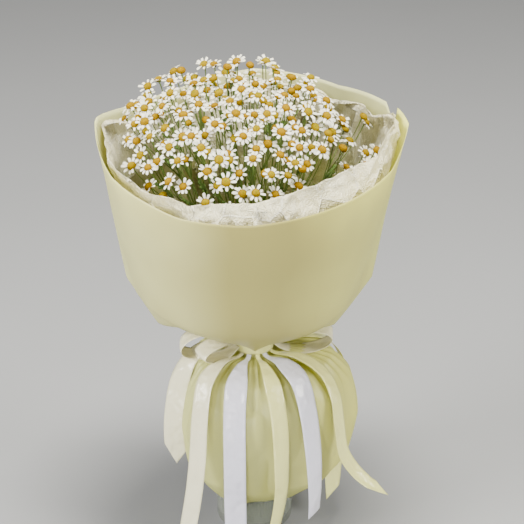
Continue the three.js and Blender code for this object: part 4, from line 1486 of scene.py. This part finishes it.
# %% Band and loops
LOOP_WIDTH = 24.0
LOOP_ROOT = 9.0
LOOP_RISE = 1.0
LOOP_START = 0.3  # radians of its round that a loop leaves out at the band
LOOP_STEPS = 44
LOOPS = [(186, 63, 31, 8), (212, 50, 18, 0), (-3, 68, 28, -6)]  # bearing, length, height, sag
BAND_WIDTH = 15.0
BAND_STEPS = 72


def loop_stations(bearing, length, height, sag):
    stations = []
    for i in range(LOOP_STEPS + 1):
        t = LOOP_START + (2 * math.pi - 2 * LOOP_START) * i / LOOP_STEPS
        opening = (math.cos(LOOP_START) - math.cos(t)) / 2
        p = polar(1, bearing, 0) * (BAND_OUT - 0.5 + length * opening)
        p.z = TIE_Z + LOOP_RISE + 0.5 * height * math.sin(t) - sag * opening * opening
        width = LOOP_ROOT + (LOOP_WIDTH - LOOP_ROOT) * min(1.0, 2 * opening)
        curl = 1.6 * math.sin(2 * t + bearing) * opening
        stations.append((p, polar(1, bearing + 90, 0), width, curl))
    return stations


def band_stations():
    stations = []
    for i in range(BAND_STEPS + 1):
        degrees = 360 * i / BAND_STEPS
        radius = 0.5 * (BAND_IN + BAND_OUT) + 0.12 * math.sin(9 * math.radians(degrees))
        stations.append((polar(radius, degrees, TIE_Z - 0.5), Vector((0, 0, 1)), BAND_WIDTH, 0.0))
    return stations


def make_bow():
    parts = [ribbon_piece("band", band_stations(), CREAM_SATIN)]
    # The loops take the paler satin: painted light, lighter than the band's cream satin of the same ribbon,
    # against the bowl's shadow over them.
    parts += [ribbon_piece("loop", loop_stations(*facts), PALE_SATIN) for facts in LOOPS]
    bpy.ops.object.select_all(action="DESELECT")
    for part in parts:
        part.select_set(True)
    bpy.context.view_layer.objects.active = parts[0]
    bpy.ops.object.join()
    parts[0].name = "satin_bow"
    return stands_for(parts[0], "bow")


BOW_PIECE = make_bow()
print("bow faces", len(BOW_PIECE.data.polygons))

# %% [markdown]
# ## Twine
#
# Under the satin the stems are bound with a few turns of twine. It is hidden in most views, but
# it is what holds the bunch, so it is made: a coil of turns side by side, twisted by its bump.

# %% Twine turns
TWINE_R = 1.0
TWINE_TURNS = 6
TWINE_SIDES = 8
TWINE_MIDDLE, TWINE_FLARE = 14.4, 0.12  # radius at the tie, and how much it grows with height
TIE_HALF = 6


def twine_material():
    material, tree = new_material("twine")
    twist = bands_on(tree, object_position(tree), "DIAGONAL", Scale=420.0, Distortion=2.0)
    colour = tree.mix(twist, (0.30, 0.21, 0.10), (0.58, 0.46, 0.26))
    surface(tree, principled(tree, Base_Color=colour, Roughness=0.85, Normal=bump(tree, twist, 0.6, 0.0005)))
    return material


def make_twine():
    points = []
    steps, sides = 60 * TWINE_TURNS, TWINE_SIDES
    for i in range(steps + 1):
        s = i / steps
        angle = 2 * math.pi * TWINE_TURNS * s
        z = TIE_Z - TIE_HALF + TWINE_R + 2 * (TIE_HALF - TWINE_R) * s
        for k in range(sides):
            a = 2 * math.pi * k / sides
            r = TWINE_MIDDLE + TWINE_FLARE * (z - TIE_Z) + TWINE_R * math.cos(a)
            points.append((r * math.cos(angle), r * math.sin(angle), z + TWINE_R * math.sin(a)))
    faces = grid_faces(steps + 1, sides, True)
    faces += [tuple(range(sides)), tuple(steps * sides + k for k in reversed(range(sides)))]
    made = shade_smooth(mesh_object("twine_binding", in_metres(points), faces))
    return stands_for(made, "twine", twine_material())


TWINE_PIECE = make_twine()
print("twine faces", len(TWINE_PIECE.data.polygons))

# %% [markdown]
# ## Vase and water
#
# The solids' vase has few sides, so it is turned again with many. Its base is thick, with the
# inside corner rounded as in pressed glass. The water has its own surface just inside the wall.

# %% Glass and water
VASE_R, VASE_WALL, VASE_H = 45.0, 3.5, 165.0
WATER_TOP = 108.0
FOOT_R, LIP_R, INSIDE_R = 2.4, 1.2, 6  # the rounding of the foot, the lip and the corner inside
TURNED_SIDES = 96


def arc(cx, cz, r, start, end, steps):
    angles = [math.radians(start + (end - start) * k / steps) for k in range(steps + 1)]
    return [(cx + r * math.cos(a), cz + r * math.sin(a)) for a in angles]


def clear_piece(name, node, profile, material, uneven, **clear):
    """A turned piece of glass or water. uneven is the scale and strength of its faint waves."""
    made, tree = new_material(material)
    scale, strength = uneven
    normal = bump(tree, noise_on(tree, object_position(tree), scale, 1.0), strength, 0.001)
    surface(tree, principled(tree, Normal=normal, **clear))
    piece = turned(name, [(r * MM, z * MM) for r, z in profile], TURNED_SIDES)
    return stands_for(piece, node, made)


def vase_profile():
    inner = VASE_R - VASE_WALL
    profile = [(0, 0), (VASE_R - FOOT_R, 0)] + arc(VASE_R - FOOT_R, FOOT_R, FOOT_R, -90, 0, 6)[1:]
    profile += [(VASE_R, 60), (VASE_R, 120)]
    profile += arc(VASE_R - LIP_R, VASE_H - LIP_R, LIP_R, 0, 90, 5)
    profile += arc(inner + LIP_R, VASE_H - LIP_R, LIP_R, 90, 180, 5)[1:]
    profile += [(inner, 90), (inner, 14)]
    profile += arc(inner - INSIDE_R, VASE_FLOOR + INSIDE_R, INSIDE_R, 0, -90, 6)[1:]
    return profile + [(0, VASE_FLOOR)]


def water_profile():
    r, low = VASE_R - VASE_WALL - GAP, VASE_FLOOR + GAP
    profile = [(0, low), (r - INSIDE_R, low)] + arc(r - INSIDE_R, low + INSIDE_R, INSIDE_R, -90, 0, 6)[1:]
    return profile + [(r, 60), (r, WATER_TOP), (r - 0.8, WATER_TOP - 0.6), (0, WATER_TOP - 0.6)]


VASE_PIECE = clear_piece(
    "glass_vase", "vase", vase_profile(), "clear_glass", (14.0, 0.05),
    Base_Color=(0.55, 0.59, 0.52, 1.0), Roughness=0.10, Transmission_Weight=0.75, IOR=1.45,
)
WATER_PIECE = clear_piece(
    "vase_water", "water", water_profile(), "water", (30.0, 0.03),
    Base_Color=(0.80, 0.84, 0.76, 1.0), Roughness=0.04, Transmission_Weight=0.85, IOR=1.33,
)
print("vase and water faces", len(VASE_PIECE.data.polygons), len(WATER_PIECE.data.polygons))

# %% [markdown]
# ## The sheets and their cuts
#
# Each sheet's area is printed as a share of the size that it was cut to. The bowl's sheets are cut from a
# roll
# 600 mm wide. The bow's band and loops are one length of ribbon, folded.

# %% The sheets against their cuts
def declare(piece, width, length):
    print(piece.name, "covers", round(area_of(piece) / (width * length), 2), "of its cut")


declare(TISSUE_PIECE, 0.50, 0.40)
declare(FILM_FRONT, 0.50, 0.30)
declare(FILM_BACK, 0.46, 0.30)
declare(SKIRT_PIECE, 0.62, 0.26)
declare(BOW_PIECE, 0.025, 0.52)

# %% [markdown]
# ## Floor, light and camera
#
# A plain pale floor and soft studio light: a large lamp from the upper left, a weaker one from
# the right, a low one from the front and one straight above, which makes the thin sheets glow.
# The camera looks down on the bunch by thirty degrees from about two metres, through a long lens.

# %% Stage
FLOOR_HALF = 6
LAMPS = {  # place, height of the target, size, power, colour
    "key": ((-1.9, -0.9, 1.4), 0.32, 0.9, 90, (1.0, 0.98, 0.91)),
    "front": ((-0.3, -2.0, 0.45), 0.15, 0.8, 30, (1.0, 0.99, 0.95)),
    "fill": ((1.8, -0.6, 1.3), 0.35, 0.8, 56, (1.0, 0.98, 0.87)),
    "top": ((0.1, -0.05, 2.2), 0.45, 0.6, 104, (1.0, 0.97, 0.84)),
}
CAMERA_TILT = 30.0
CAMERA_FOCAL_PX = 1600.0
CAMERA_X, CAMERA_UP, CAMERA_BACK = 0.009, 0.298, 1.93  # along the picture's sides and its depth
PICTURE_PX = 524.0
SENSOR_MM = 36.0


def make_floor():
    h = FLOOR_HALF
    floor = mesh_object("floor", [(-h, -h, 0), (h, -h, 0), (h, h, 0), (-h, h, 0)], [(0, 1, 2, 3)])
    material, tree = new_material("floor_paint")
    tone = noise_on(tree, object_position(tree), 2.0)
    colour = tree.mix(tone, (0.245, 0.25, 0.27), (0.27, 0.275, 0.295))
    surface(tree, principled(tree, Base_Color=colour, Roughness=0.8))
    floor.data.materials.append(material)


def area_lamp(name, place, target_z, size, power, colour):
    lamp = bpy.data.lights.new(name, "AREA")
    lamp.size, lamp.energy, lamp.color = size, power, colour
    made = link(name, lamp)
    made.location = place
    made.rotation_euler = (Vector((0, 0, target_z)) - Vector(place)).to_track_quat("-Z", "Y").to_euler()


def make_world():
    world = bpy.data.worlds.new("studio")
    bpy.context.scene.world = world
    world.use_nodes = True
    background = world.node_tree.nodes["Background"]
    background.inputs["Color"].default_value = (0.88, 0.89, 0.90, 1.0)
    background.inputs["Strength"].default_value = 0.20


def make_camera():
    camera = bpy.data.cameras.new("camera")
    camera.sensor_width = SENSOR_MM
    camera.lens = CAMERA_FOCAL_PX * SENSOR_MM / PICTURE_PX
    made = link("camera", camera)
    tilt = math.radians(CAMERA_TILT)
    y = CAMERA_UP * math.sin(tilt) - CAMERA_BACK * math.cos(tilt)
    z = CAMERA_UP * math.cos(tilt) + CAMERA_BACK * math.sin(tilt)
    made.location = (CAMERA_X, y, z)
    made.rotation_euler = (math.radians(90 - CAMERA_TILT), 0, 0)
    bpy.context.scene.camera = made


make_floor()
make_world()
make_camera()
for name, facts in LAMPS.items():
    area_lamp(name, *facts)
